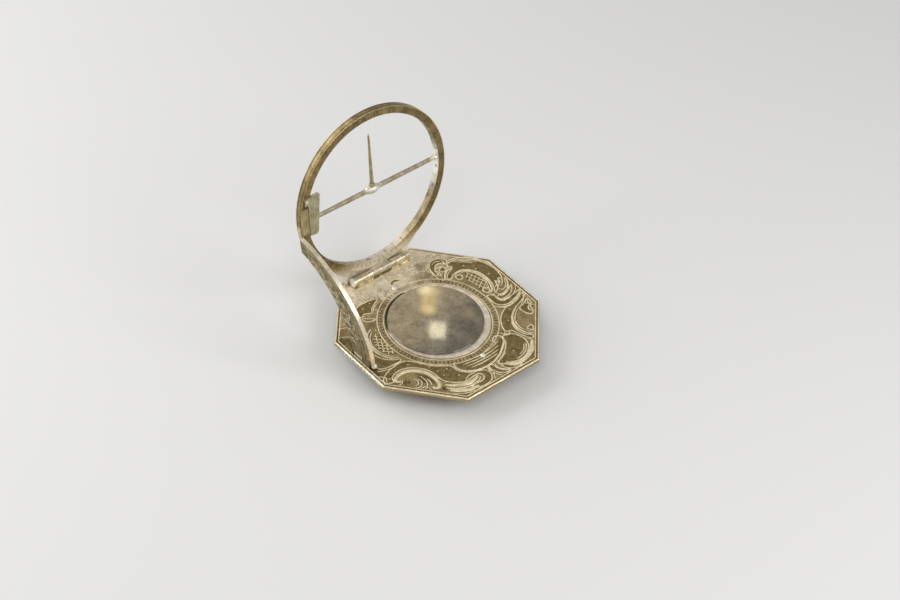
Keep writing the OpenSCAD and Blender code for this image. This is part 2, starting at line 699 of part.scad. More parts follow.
// Gnomon: a tapered pin on a small collar, pressed into the hub
module gnomon_pin() color(pale_brass) bar_frame() rotate([-90, 0, 0])
    rotate_extrude() polygon([
        [0, 0], [tenon_r, 0], [tenon_r, hub_r], [gnomon_r + gnomon_collar, hub_r],
        [gnomon_r + gnomon_collar, hub_r + gnomon_collar], [gnomon_r, hub_r + 2 * gnomon_collar],
        [gnomon_tip_r, gnomon_len - gnomon_point], [0, gnomon_len]
    ]);

// Outline of the latitude arc, in the arc's own frame
module arc_outline() {
    intersection() {
        difference() {
            translate([hinge_y, arc_centre_h]) circle(r = arc_ro);
            translate([hinge_y + arc_taper, arc_centre_h]) circle(r = arc_ri);
        }
        translate([arc_top_y - 2 * arc_ro, arc_ball_r + ball_gap]) square(2 * arc_ro);
    }
    translate([arc_y0, -plinth_low]) square([arc_y3 - arc_y0, plinth_h + plinth_low]);
}

// Lines of the degree scale, in the arc's own frame
module arc_scale_lines() {
    intersection() {
        translate([hinge_y, arc_centre_h]) for (r = [scale_margin, scale_margin + scale_w])
            flat_ring(arc_ro - r - line_w, arc_ro - r);
        translate([arc_top_y - scale_end - arc_ro, plinth_h]) square(arc_ro);
    }
}

// Latitude arc with its two knuckles and the notch for the plate's knuckle
module latitude_arc() color(old_brass) arc_frame() difference() {
    union() {
        translate([-arc_t, 0, 0]) side_plate(arc_t) arc_outline();
        bar_y(arc_y0, arc_y1, arc_knuckle_r);
        bar_y(arc_y2, arc_y3, arc_knuckle_r);
    }
    translate([-arc_t - cut, arc_y1, -arc_t])
        cube([arc_t + 2 * cut, arc_y2 - arc_y1, arc_t + arc_knuckle_r + notch_gap]);
    bar_y(arc_y0 - cut, arc_y3 + cut, arc_pin_r + run_gap);
    translate([-arc_t - cut, 0, 0]) side_plate(cut + line_d) arc_scale_lines();
}

base_plate();
compass_box();
compass_rivets();
compass_rose();
needle_pivot();
glass_seat();
compass_glass();
bezel_ring();
ring_hinge_bracket();
ring_hinge_pin();
arc_hinge_bracket();
arc_hinge_pin();
hour_ring();
ring_foot();
detent_spring();
detent_block();
spring_rivet();
latitude_index();
index_rivet();
cross_bar();
gnomon_pin();
latitude_arc();
compass_needle();
needle_cap();
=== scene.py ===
# %% [markdown]
# # A folding pocket sundial
# The brass dial stands open: an octagonal plate with a sunk compass, an hour ring that is hinged at
# the back, and a latitude arc that is hinged at the left. The metal parts come from the packed
# model, which is never moved here. This lesson gives each part its finish, and adds what a graver
# and punches leave on old brass.

# %% The packed model
import bpy
import math
from mathutils import Matrix, Vector


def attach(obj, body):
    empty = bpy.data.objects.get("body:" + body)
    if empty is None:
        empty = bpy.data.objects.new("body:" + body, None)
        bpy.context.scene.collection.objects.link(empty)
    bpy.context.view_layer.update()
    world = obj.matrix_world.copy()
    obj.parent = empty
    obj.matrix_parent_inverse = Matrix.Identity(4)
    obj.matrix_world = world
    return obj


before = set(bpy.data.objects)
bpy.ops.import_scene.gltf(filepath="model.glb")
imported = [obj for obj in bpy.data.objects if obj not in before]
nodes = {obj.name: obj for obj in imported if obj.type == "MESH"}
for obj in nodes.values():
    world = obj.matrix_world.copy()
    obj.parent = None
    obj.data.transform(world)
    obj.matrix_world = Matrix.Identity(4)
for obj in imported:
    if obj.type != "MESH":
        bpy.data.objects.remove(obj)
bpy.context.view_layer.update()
MM = 0.001
print("nodes:", len(nodes))

# %% [markdown]
# ## The camera
# A long lens from a little above keeps the plate's edges almost parallel, as in the photograph.
# The camera is aimed at a point above the compass and is rolled by a few degrees.

# %% The camera
camera_place = Vector((-0.38390, -0.41760, 0.55937))
camera_aim = Vector((-0.00040, -0.00487, 0.02000))
camera_roll = math.radians(4.308)
lens = bpy.data.cameras.new("camera")
lens.lens = 106.894
lens.sensor_width = 36
lens.clip_start = 0.01
camera = bpy.data.objects.new("camera", lens)
bpy.context.scene.collection.objects.link(camera)
turn = (camera_aim - camera_place).to_track_quat("-Z", "Y").to_matrix().to_4x4()
roll = Matrix.Rotation(camera_roll, 4, "Z")
camera.matrix_world = Matrix.Translation(camera_place) @ turn @ roll
bpy.context.scene.camera = camera
print("camera distance", round((camera_aim - camera_place).length, 3))

# %% [markdown]
# ## Light
# Polished metal shows what is round it, so each lamp is placed where the light bounces towards the
# camera from one surface: a big one behind the dial for the level plate, a low one at the left for
# the ring's inner wall, one at the right for the arc's rim, and one above the camera for the faces
# that look at it. A tiny lamp makes the pale patch that the compass glass mirrors.

# %% Light
def soft_lamp(name, aim, direction, distance, size, power, color=(1, 1, 1)):
    """A square lamp that looks at its aim. Distance and size are in metres."""
    data = bpy.data.lights.new(name, "AREA")
    data.size = size
    data.energy = power
    data.color = color
    lamp = bpy.data.objects.new(name, data)
    place = aim + distance * Vector(direction)
    lamp.location = place
    lamp.rotation_euler = (aim - place).to_track_quat("-Z", "Y").to_euler()
    bpy.context.scene.collection.objects.link(lamp)


middle = Vector((0, 0, 0.02))
for name, direction, distance, size, power in [
        ("behind", (-0.15, 0.80, 0.58), 0.6, 0.36, 1.0),
        ("left", (-0.70, 0.53, 0.46), 0.5, 0.28, 0.75),
        ("right", (0.33, -0.75, 0.57), 0.5, 0.27, 0.95),
        ("above", (-0.45, -0.35, 0.82), 0.6, 0.25, 0.6)]:
    soft_lamp(name, middle, direction, distance, size, power)
glass_spot = Vector((-0.0042, -0.0050, 0.0078))
soft_lamp("window", glass_spot, (0.485, 0.528, 0.698), 0.5, 0.0078, 0.0020, (1.0, 0.90, 0.64))

world = bpy.data.worlds.new("room")
bpy.context.scene.world = world
world.use_nodes = True
room = world.node_tree.nodes["Background"]
room.inputs["Color"].default_value = (0.60, 0.60, 0.60, 1)
room.inputs["Strength"].default_value = 0.75
bpy.context.scene.view_settings.view_transform = "Standard"
print("lamps:", len(bpy.data.lights))

# %% [markdown]
# ## A small language for shaders
# Patterns are sums. The first class below wraps a node's output, so that `1 - mask * 0.4` adds the
# Math nodes itself. The second one holds a material, and its methods add the other nodes.

# %% Shader maths
class Value:
    """An output of a shader node, which can be added, subtracted and multiplied."""
    def __init__(self, shader, socket):
        self.shader, self.socket = shader, socket

    def math(self, operation, other=None):
        return self.shader.math(operation, self, other)

    def __add__(self, other): return self.math("ADD", other)
    def __sub__(self, other): return self.math("SUBTRACT", other)
    def __rsub__(self, other): return self.shader.math("SUBTRACT", other, self)
    def __mul__(self, other): return self.math("MULTIPLY", other)
    def __abs__(self): return self.math("ABSOLUTE")
    __radd__, __rmul__ = __add__, __mul__

    def step(self, low, high):
        """0 below low, 1 above high, smooth between."""
        return self.shader.add("ShaderNodeMapRange", {"interpolation_type": "SMOOTHSTEP"},
                               {"Value": self, "From Min": low, "From Max": high})


class Shader:
    """A material, with a method for each kind of node that it needs."""
    def __init__(self, name):
        self.material = bpy.data.materials.new(name)
        self.material.use_nodes = True
        self.tree = self.material.node_tree
        self.surface = self.tree.nodes["Principled BSDF"]
        self.place = self.add("ShaderNodeTexCoord", {}, {}, "Object")

    def add(self, kind, settings, sockets, output=0):
        """A node of any kind: its settings come first, then what goes into its sockets."""
        node = self.tree.nodes.new(kind)
        for name, value in settings.items():
            setattr(node, name, value)
        for name, value in sockets.items():
            self.put(node.inputs[name], value)
        return Value(self, node.outputs[output])

    def put(self, socket, value):
        """Joins an output to a socket, or sets the socket to a plain number or colour."""
        if isinstance(value, Value):
            self.tree.links.new(value.socket, socket)
        elif value is not None:
            socket.default_value = value

    def math(self, operation, a, b):
        return self.add("ShaderNodeMath", {"operation": operation}, {0: a, 1: b})

    def noise(self, scale, detail, rough):
        """Cloudy noise from about 0 to 1, with scale in blobs per metre."""
        return self.add("ShaderNodeTexNoise", {}, {"Vector": self.place, "Scale": scale,
                                                   "Detail": detail, "Roughness": rough})

    def mix(self, share, a, b):
        """Colour a where share is 0 and colour b where it is 1."""
        a, b = [(*color, 1) if isinstance(color, tuple) else color for color in (a, b)]
        return self.add("ShaderNodeMix", {"data_type": "RGBA"}, {0: share, 6: a, 7: b}, 2)

    def set(self, **values):
        """Feeds the surface, for example Base_Color=..."""
        for name, value in values.items():
            self.put(self.surface.inputs[name.replace("_", " ")], value)

    def split(self):
        """The place as three numbers."""
        parts = self.add("ShaderNodeSeparateXYZ", {}, {0: self.place})
        return [Value(self, output) for output in parts.socket.node.outputs]

    def reach(self, a, b):
        """Length of the two legs a and b together."""
        return (a * a + b * b).math("SQRT")

    def away(self, at):
        """Distance from a place."""
        return self.add("ShaderNodeVectorMath", {"operation": "DISTANCE"},
                        {0: self.place, 1: at}, 1)

    def bump(self, height, distance):
        return self.add("ShaderNodeBump", {}, {"Height": height, "Distance": distance,
                                               "Strength": 0.5})


def wear(node_name, material):
    """Puts a material on a part of the packed model."""
    mesh = nodes[node_name].data
    mesh.materials.clear()
    mesh.materials.append(material)


print("shader methods:", len([name for name in vars(Shader) if not name.startswith("_")]))

# %% [markdown]
# ## The standing parts
# The ring leans back by a few degrees on its hinge, and the arc leans outwards. The numbers below
# repeat the hinge axes and radii of the packed model. Each frame turns a leaf's own flat drawing
# into its place.

# %% Frames of the ring and the arc
# In metres, but for the arc's reach and lift, which its drawing needs in millimetres
PLATE_TOP = 7.3 * MM
ring_in_r, ring_half = 24.6 * MM, 1.1 * MM
arc_out_r, arc_thick = 31.2 * MM, 1.2 * MM
RING_HINGE, RING_LEAN = (0, 26.6 * MM, 8.95 * MM), math.radians(81.3)
RING_FROM_HINGE = (0, 28 * MM, -2.3 * MM)
ARC_HINGE, ARC_LEAN = (-27.55 * MM, 0, 8.3 * MM), math.radians(-7.7)
ARC_REACH, ARC_LIFT = 26.6, 0.65
ring_frame = (Matrix.Translation(RING_HINGE) @ Matrix.Rotation(RING_LEAN, 4, "X")
              @ Matrix.Translation(RING_FROM_HINGE))
arc_frame = Matrix.Translation(ARC_HINGE) @ Matrix.Rotation(ARC_LEAN, 4, "Y")
ring_middle = ring_frame @ Vector((0, 0, 0))
ring_up = ring_frame.to_3x3() @ Vector((0, 1, 0))
arc_middle = arc_frame @ Vector((0, ARC_REACH * MM, ARC_LIFT * MM))
arc_up = arc_frame.to_3x3() @ Vector((0, 0, 1))
print("ring middle", ring_middle, "arc middle", arc_middle)

# %% [markdown]
# ## Old brass
# Two centuries in a pocket leave brass olive brown in the hollows and pale where cloth and fingers
# rub it. So one recipe makes nearly every metal here: a dark and a light colour, mixed by cloudy
# noise and by fine grain, with duller gloss where it is dark.

# %% Old brass
def old_brass(name, dark, light, blobs=260, gloss=0.36, shade=0.5, metal=0.9, rub_and_highlight_spots=()):
    """blobs counts the clouds along a metre, and a higher shade leaves more of the dark colour.
    The last argument lists (place, reach) in metres, where wear and a painted highlight make the
    metal pale."""
    brass = Shader(name)
    cloud = brass.noise(blobs, 6, 0.6)
    grain = brass.noise(blobs * 14, 3, 0.6)
    share = (cloud * 0.75 + grain * 0.25).step(shade - 0.16, shade + 0.16)
    color = brass.mix(share, dark, light)
    for at, reach in rub_and_highlight_spots:
        near = 1 - brass.away(at).step(reach * 0.4, reach)
        color = brass.mix(near * (0.5 + share * 0.5), color, (0.86, 0.83, 0.72))
    brass.set(Base_Color=color, Metallic=metal, Roughness=gloss + (1 - share) * 0.14,
              Normal=brass.bump(grain, 0.00002))
    return brass.material


box_metal = old_brass("box_brass", (0.21, 0.155, 0.062), (0.42, 0.33, 0.17))
pale_metal = old_brass("pale_brass", (0.36, 0.29, 0.16), (0.82, 0.74, 0.54), 800,
                       gloss=0.30, metal=0.8)
gilt_metal = old_brass("gilt_brass", (0.29, 0.24, 0.12), (0.52, 0.45, 0.25), 300,
                       gloss=0.32, metal=0.7)
# The bar is pale at its hub and its right end, from wear and as painted highlights
right_end = ring_middle + Vector((ring_in_r, 0, 0))
bar_metal = old_brass("bar_brass", (0.27, 0.22, 0.145), (0.52, 0.46, 0.34), 800,
                      gloss=0.34, metal=0.75, rub_and_highlight_spots=[(ring_middle, 0.0042), (right_end, 0.0035)])
pin_highlight_metal = old_brass("pin_heads_highlight", (0.60, 0.54, 0.42), (0.95, 0.92, 0.82), 900,
                      gloss=0.26, shade=0.46, metal=0.45)
spring_metal = old_brass("spring_brass", (0.32, 0.29, 0.18), (0.56, 0.53, 0.36), 420,
                         gloss=0.34, metal=0.8)
bezel_metal = old_brass("silvered_bezel", (0.62, 0.53, 0.41), (0.93, 0.84, 0.69), 420,
                        gloss=0.38, metal=0.45)
dial_metal = old_brass("silvered_dial", (0.28, 0.25, 0.20), (0.48, 0.42, 0.33), 180, gloss=0.45)
print("metals:", len(bpy.data.materials))

# %% [markdown]
# ## Who wears what
# The small parts take these metals. Heads of pins and rivets are the palest, because they stick out
# and are rubbed most, and that paleness also paints their highlight. Blued steel ages in the same
# cloudy way, so the needle uses the recipe too.

# %% Metals of the small parts
needle_metal = old_brass("needle_steel", (0.03, 0.034, 0.055), (0.085, 0.09, 0.12), 600, gloss=0.28)
worn_by = [
    (box_metal, ["compass_box"]),
    (pale_metal, ["needle_pivot", "ring_hinge_bracket", "latitude_index"]),
    (pin_highlight_metal, ["ring_hinge_pin", "arc_hinge_pin", "arc_hinge_bracket", "compass_rivets",
                 "spring_rivet", "index_rivet"]),
    (gilt_metal, ["detent_block", "needle_cap", "gnomon_pin"]),
    (bar_metal, ["cross_bar"]),
    (spring_metal, ["detent_spring"]),
    (bezel_metal, ["bezel_ring", "glass_seat"]),
    (dial_metal, ["compass_rose"]),
    (needle_metal, ["compass_needle"]),
]
for metal, names in worn_by:
    for name in names:
        wear(name, metal)
print("small parts:", sum(len(names) for metal, names in worn_by))

# %% [markdown]
# ## The plate's ground
# The plate shows its age best. Between the ornament the ground is finely hatched and pale, and
# near the ring's hinge it is rubbed almost white, with a painted sheen. Grime sits in the groove
# that follows the eight edges, while the edges themselves are bright. At the arc's foot and on the
# right of the bevel the ground is darker, as painted shade, and a painted highlight runs along the
# left edge. The distance to the nearest edge is worked out from the place of each point, so the
# groove turns the corners as a graver's ruler does.

# %% The plate's ground
# Millimetres from the middle to a straight and to a slanting side, and the way across the latter
PLATE_HALF, CORNER_HALF = 30, 30.06
CORNER_X, CORNER_Y = 0.7492, 0.6623


def ground_brass(name, dark, light, wear_and_sheen, grime_and_shade, bevel):
    """The ground is dark and light; the third colour is wear and painted sheen, the fourth is grime
    and painted shade.
    """
    brass = Shader(name)
    x, y, z = brass.split()
    across = abs(x).math("MAXIMUM", abs(y))
    slant = abs(x) * CORNER_X + abs(y) * CORNER_Y
    inset = (PLATE_HALF * MM - across).math("MINIMUM", CORNER_HALF * MM - slant)
    cloud = brass.noise(230, 6, 0.62)
    speck = brass.noise(1900, 3, 0.6)
    hatch = brass.add("ShaderNodeTexWave", {"bands_direction": "DIAGONAL"},
                      {"Vector": brass.place, "Scale": 1100, "Distortion": 9, "Detail": 2,
                       "Detail Scale": 1.6})
    share = (cloud * 0.5 + speck * 0.32 + hatch * 0.18).step(0.38, 0.60)
    metal = brass.mix(share, dark, light)

    # Rubbed pale beside the ring's hinge, with a milky painted sheen, but not at the arc's foot,
    # where no cloth gets in
    hidden = 1 - (x + cloud * 0.004).step(-0.0265, -0.022)
    back = (y + cloud * 0.016 + speck * 0.004 - abs(x + 0.003) * 0.22).step(0.0205, 0.031)
    back = back * (1 - hidden)
    metal = brass.mix(back * (0.4 + share * 0.6), metal, wear_and_sheen)
    milky_sheen = (brass.noise(420, 5, 0.7) * 0.7 + speck * 0.3).step(0.46, 0.60)
    metal = brass.mix(back * milky_sheen * 0.75, metal, (0.97, 0.89, 0.72))

    # A little paler between the circles of the degree ring
    round_out = brass.reach(x, y)
    band = round_out.step(0.0158, 0.0161) * (1 - round_out.step(0.0181, 0.0184))
    metal = brass.mix(band * (0.05 + share * 0.22), metal, wear_and_sheen)

    # Grime in clouds and in one stain, and painted shade at the arc's foot
    grime = (brass.noise(90, 5, 0.7) + speck * 0.35).step(0.74, 0.95) * 0.6
    stain = 1 - brass.away((0.0102, 0.0215, 0.0073)).step(0.0008, 0.0026)
    dirt_and_shade = grime.math("MAXIMUM", (stain * 0.45).math("MAXIMUM", hidden * 0.85))
    metal = brass.mix(dirt_and_shade, metal, grime_and_shade)

    # Dark groove in the top, and a bright line along the edge
    groove = inset.step(0.0003, 0.00045) * (1 - inset.step(0.00085, 0.0010))
    top = z.step(0.007, 0.0072)
    metal = brass.mix(groove * 0.8 * top, metal, grime_and_shade)
    metal = brass.mix((1 - inset.step(0.00015, 0.0004)) * (0.25 + share * 0.5), metal, wear_and_sheen)

    # Brown bevel and underside, with painted shade at the right, and a painted highlight along the
    # edge beside the arc's hinge
    metal = brass.mix((1 - top) * 0.75, metal, bevel)
    metal = brass.mix((1 - top) * x.step(0.008, 0.022) * 0.9, metal, grime_and_shade)
    beside = y.step(-0.012, -0.009) * (1 - y.step(0.006, 0.010))
    bright = (1 - inset.step(0.0003, 0.0012)) * hidden * beside
    metal = brass.mix(bright * speck.step(0.42, 0.56), metal, (0.92, 0.90, 0.80))

    brass.set(Base_Color=metal, Metallic=0.8 - back * 0.4,
              Roughness=0.40 - share * 0.08 + grime * 0.15,
              Normal=brass.bump(speck + hatch * 0.5, 0.00003))
    return brass.material


plate_metal = ground_brass("plate_brass", dark=(0.24, 0.17, 0.07), light=(0.56, 0.43, 0.21),
                           wear_and_sheen=(0.86, 0.74, 0.54), grime_and_shade=(0.13, 0.094, 0.038),
                           bevel=(0.34, 0.26, 0.115))
wear("base_plate", plate_metal)
print("shader nodes of the plate:", len(plate_metal.node_tree.nodes))

# %% [markdown]
# ## The ring and the arc
# Hands hold a dial by its edges, so those are polished and the faces stay brown. On the hour ring
# the inner wall is silvered and pale, to show the numerals, and carries a painted highlight at the
# right; the ring's outside has painted shade towards the right. On the arc the convex rim is the
# bright part, and the foot is pale as a painted highlight. Both are found by their distance from
# the middle of the ring, or of the arc.

# %% Ring and arc
def rubbed_brass(name, dark, light, bright, ring):
    """ring is true for the hour ring and false for the arc."""
    brass = Shader(name)
    x, y, z = brass.split()
    cloud = brass.noise(340, 6, 0.62)
    speck = brass.noise(2300, 3, 0.6)
    share = (cloud * 0.6 + speck * 0.4).step(0.38, 0.62)
    metal = brass.mix(share, dark, light)
    if ring:
        up = (y - ring_middle.y) * ring_up.y + (z - ring_middle.z) * ring_up.z
        far = brass.reach(x, up)
        # The inner wall is silvered and carries a painted highlight at the right, and is dull below
        # that
        wall = 1 - far.step(ring_in_r + 0.00005, ring_in_r + 0.0002)
        silver_and_highlight = up.step(-0.013, -0.003) * (1 - up.step(0.001, 0.006)) * x.step(0.0, 0.02)
        shine = wall * (0.12 + silver_and_highlight * 0.88)
        pale = wall * silver_and_highlight
        dull = wall * (1 - up.step(-0.019, -0.010)) * x.step(0.003, 0.010)
        # The foot is rubbed, and its front most of all
        low = 1 - (z + cloud * 0.006).step(0.013, 0.020)
        low = low * (0.6 + y.step(0.0268, 0.0274) * 0.4)
        outside = far.step(0.02700, 0.02707) * (1 - low)
        metal = brass.mix(dull * 0.45, metal, dark)
        # Painted shade: the ring's outside is darker towards the right
        metal = brass.mix(x.step(0.004, 0.022) * (1 - wall) * 0.35, metal, dark)
        metal = brass.mix(outside * (0.2 + share * 0.4), metal, (0.40, 0.305, 0.145))
    else:
        up = (x - arc_middle.x) * arc_up.x + (z - arc_middle.z) * arc_up.z
        far = brass.reach(y - arc_middle.y, up)
        shine = far.step(arc_out_r - 0.00015, arc_out_r - 0.00005)
        # The arc's foot is made pale as a painted highlight
        low = (1 - (z + cloud * 0.004).step(0.008, 0.0105)) * 0.5
        pale = shine * 0.2
    rub = 0.55 + share * 0.45
    wear_and_sheen = (shine * rub).math("MAXIMUM", low * rub)
    metal = brass.mix(wear_and_sheen, metal, bright)
    brass.set(Base_Color=brass.mix(pale * (0.6 + share * 0.4), metal, (0.98, 0.96, 0.89)),
              Metallic=0.88 - wear_and_sheen * 0.2 - low * 0.35 - pale * 0.3,
              Roughness=0.42 - share * 0.08 - shine * 0.05, Normal=brass.bump(speck, 0.00002))
    return brass.material


ring_metal = rubbed_brass("ring_brass", dark=(0.13, 0.094, 0.04), light=(0.36, 0.27, 0.13),
                          bright=(0.86, 0.79, 0.65), ring=True)
arc_metal = rubbed_brass("arc_brass", dark=(0.09, 0.066, 0.025), light=(0.28, 0.215, 0.09),
                         bright=(0.88, 0.76, 0.53), ring=False)
for name, metal in [("hour_ring", ring_metal), ("ring_foot", ring_metal),
                    ("latitude_arc", arc_metal)]:
    wear(name, metal)
print("shader nodes of the ring:", len(ring_metal.node_tree.nodes))

# %% [markdown]
# ## Clouded glass
# The compass glass is old: a brown film lies inside it, so the dial below shows only as a shadow.
# Its near side is darker as painted shade, and its warm smears are painted reflections of the
# ring. A see-through share in Alpha follows that film.

# %% Clouded glass
glass = Shader("compass_glass")
cloud = glass.noise(190, 5, 0.65)
speck = glass.noise(1700, 3, 0.7)
film = cloud * 0.6 + speck * 0.4
x, y, z = glass.split()
# Painted shade: the glass is darker towards the near side
shaded = 1 - (y * 1.1 + x * -0.25 + cloud * 0.010).step(-0.006, 0.010)
tint = glass.mix(film.step(0.33, 0.67), (0.22, 0.175, 0.105), (0.46, 0.375, 0.235))
near_tint = glass.mix(film.step(0.34, 0.68), (0.055, 0.048, 0.035), (0.135, 0.118, 0.088))
tint = glass.mix(shaded * 0.8, tint, near_tint)
# The four warm smears are painted reflections of the ring; the last two are darker spots
painted_reflections_and_spots = [
    # Place and reach in metres, strength, colour
    ((0.0052, 0.0117), 0.0042, 1.0, (1.0, 0.84, 0.48)),
    ((0.0072, 0.0096), 0.0036, 0.5, (0.74, 0.56, 0.27)),
    ((0.0032, 0.0083), 0.0044, 0.75, (0.74, 0.54, 0.24)),
    ((0.0005, 0.0054), 0.0038, 0.9, (0.88, 0.68, 0.33)),
    ((0.0085, -0.0030), 0.0040, 0.4, (0.36, 0.27, 0.15)),
    ((-0.0048, 0.0014), 0.0026, 0.45, (0.12, 0.105, 0.08)),
]
for at, reach, strength, color in painted_reflections_and_spots:
    far = glass.reach(x - at[0], y - at[1]) + cloud * 0.002
    tint = glass.mix((1 - far.step(reach * 0.35, reach * 1.2)) * strength, tint, color)
glass.set(Base_Color=tint, Alpha=0.80 + film * 0.14, Roughness=0.02 + film * 0.04, Metallic=0.0,
          Specular_IOR_Level=0.7)
wear("compass_glass", glass.material)
print("shader nodes of the glass:", len(glass.tree.nodes))

# %% [markdown]
# ## A graver's strokes
# An engraved line swells and thins as the graver turns, and its burnished edges catch the light.
# Here each stroke is a curve whose points carry their own width. The curve is made a mesh and
# pressed flat. All of this is drawn in millimetres, flat in X and Y.

# %% Strokes and fields
def polar(r, degrees):
    """A point of a circle about the middle."""
    return r * math.cos(math.radians(degrees)), r * math.sin(math.radians(degrees))


def smooth(points, closed=False, steps=5):
    """Points on a curve that runs through the given ones."""
    places = [Vector(point) for point in points]
    count = len(places)
    out = []
    for i in range(count if closed else count - 1):
        around = [(i + k) % count if closed else min(max(i + k, 0), count - 1)
                  for k in (-1, 0, 1, 2)]
        a, b, c, d = [places[k] for k in around]
        for k in range(steps):
            t = k / steps
            out.append(0.5 * (2 * b + (c - a) * t + (2 * a - 5 * b + 4 * c - d) * t * t
                              + (3 * b - a - 3 * c + d) * t ** 3))
    if not closed:
        out.append(places[-1])
    return [(point.x, point.y) for point in out]


def curve_piece(name, splines, dimensions="3D", **settings):
    """Splines of (points, widths, closed), made one mesh."""
    bpy.ops.object.select_all(action="DESELECT")
    bpy.ops.curve.primitive_bezier_curve_add()
    piece = bpy.context.object
    piece.name = name
    curve = piece.data
    curve.splines.clear()
    curve.dimensions = dimensions
    for key, value in settings.items():
        setattr(curve, key, value)
    for points, widths, closed in splines:
        spline = curve.splines.new("POLY")
        spline.points.add(len(points) - 1)
        for point, (x, y), wide in zip(spline.points, points, widths):
            point.co = (x * MM, y * MM, 0, 1)
            point.radius = wide
        spline.use_cyclic_u = closed
    bpy.ops.object.convert(target="MESH")
    return bpy.context.object


def strokes(name, lines, width, height, closed=False, tapered=True):
    """Raised lines with a low round back, thin at both ends where they are tapered."""
    splines = []
    for line in lines:
        points = smooth(line, closed)
        last = len(points) - 1
        widths = [1.0] * len(points)
        if tapered and not closed:
            widths = [0.35 + 0.65 * math.sin(math.pi * (0.08 + 0.84 * i / last))
                      for i in range(last + 1)]
        splines.append((points, widths, closed))
    piece = curve_piece(name, splines, bevel_depth=width / 2 * MM, bevel_resolution=1,
                        use_fill_caps=True)
    for vertex in piece.data.vertices:
        vertex.co.z *= 2 * height / width
    return piece


def fields(name, outlines, height):
    """Flat islands inside closed outlines."""
    curves = [smooth(outline, True) for outline in outlines]
    splines = [(points, [1] * len(points), True) for points in curves]
    return curve_piece(name, splines, "2D", fill_mode="BOTH", extrude=height / 2 * MM)


print("points on a stroke through three places:", len(smooth([(0, 0), (1, 1), (2, 0)])))

# %% [markdown]
# ## Where things are laid
# Each flat piece is laid on the plate, the ring or the arc by a small function that moves its
# points. The plate's top is level. The numerals of the ring stand on its inner wall, so flat words
# are rolled into a ring there. The arc stands on edge at the left, and is seen on its outer face.
# A place to lay things is such a function together with the body that the piece rides on, and a
# finish is a metal together with the name of a slot.

# %% Laying places
def on_plate(p):
    return Vector((p.x, p.y, PLATE_TOP + p.z))


def on_ring_face(p):
    return ring_frame @ Vector((p.x, p.y, ring_half + p.z))


def on_ring_wall(p):
    turned = -p.x / ring_in_r
    r = ring_in_r - p.z
    return ring_frame @ Vector((r * math.cos(turned), r * math.sin(turned), p.y))


def on_arc_face(p):
    return arc_frame @ Vector((-arc_thick - p.z, -p.x, p.y))


def lay(piece, where, body, material, slot):
    """Moves the points of a flat piece to their place, and hangs the piece on its body."""
    for vertex in piece.data.vertices:
        vertex.co = where(vertex.co)
    piece.data.materials.clear()
    piece.data.materials.append(material)
    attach(piece, body)
    print(piece.name, len(piece.data.polygons), "faces")


PLATE = (on_plate, "base")
RING_FACE = (on_ring_face, "hour_ring_leaf")
RING_WALL = (on_ring_wall, "hour_ring_leaf")
ARC_FACE = (on_arc_face, "arc_leaf")
print("middle of the plate's top:", on_plate(Vector((0, 0, 0))))

# %% [markdown]
# ## Shell and scroll ornament
# The plate is covered with common rocaille: C-scrolls, fronds and trellis. The engraver cut the
# ground away in fine lines and left dark islands standing, each with a bright border. The islands
# are flat shapes on the plate, a few hundredths of a millimetre thick.

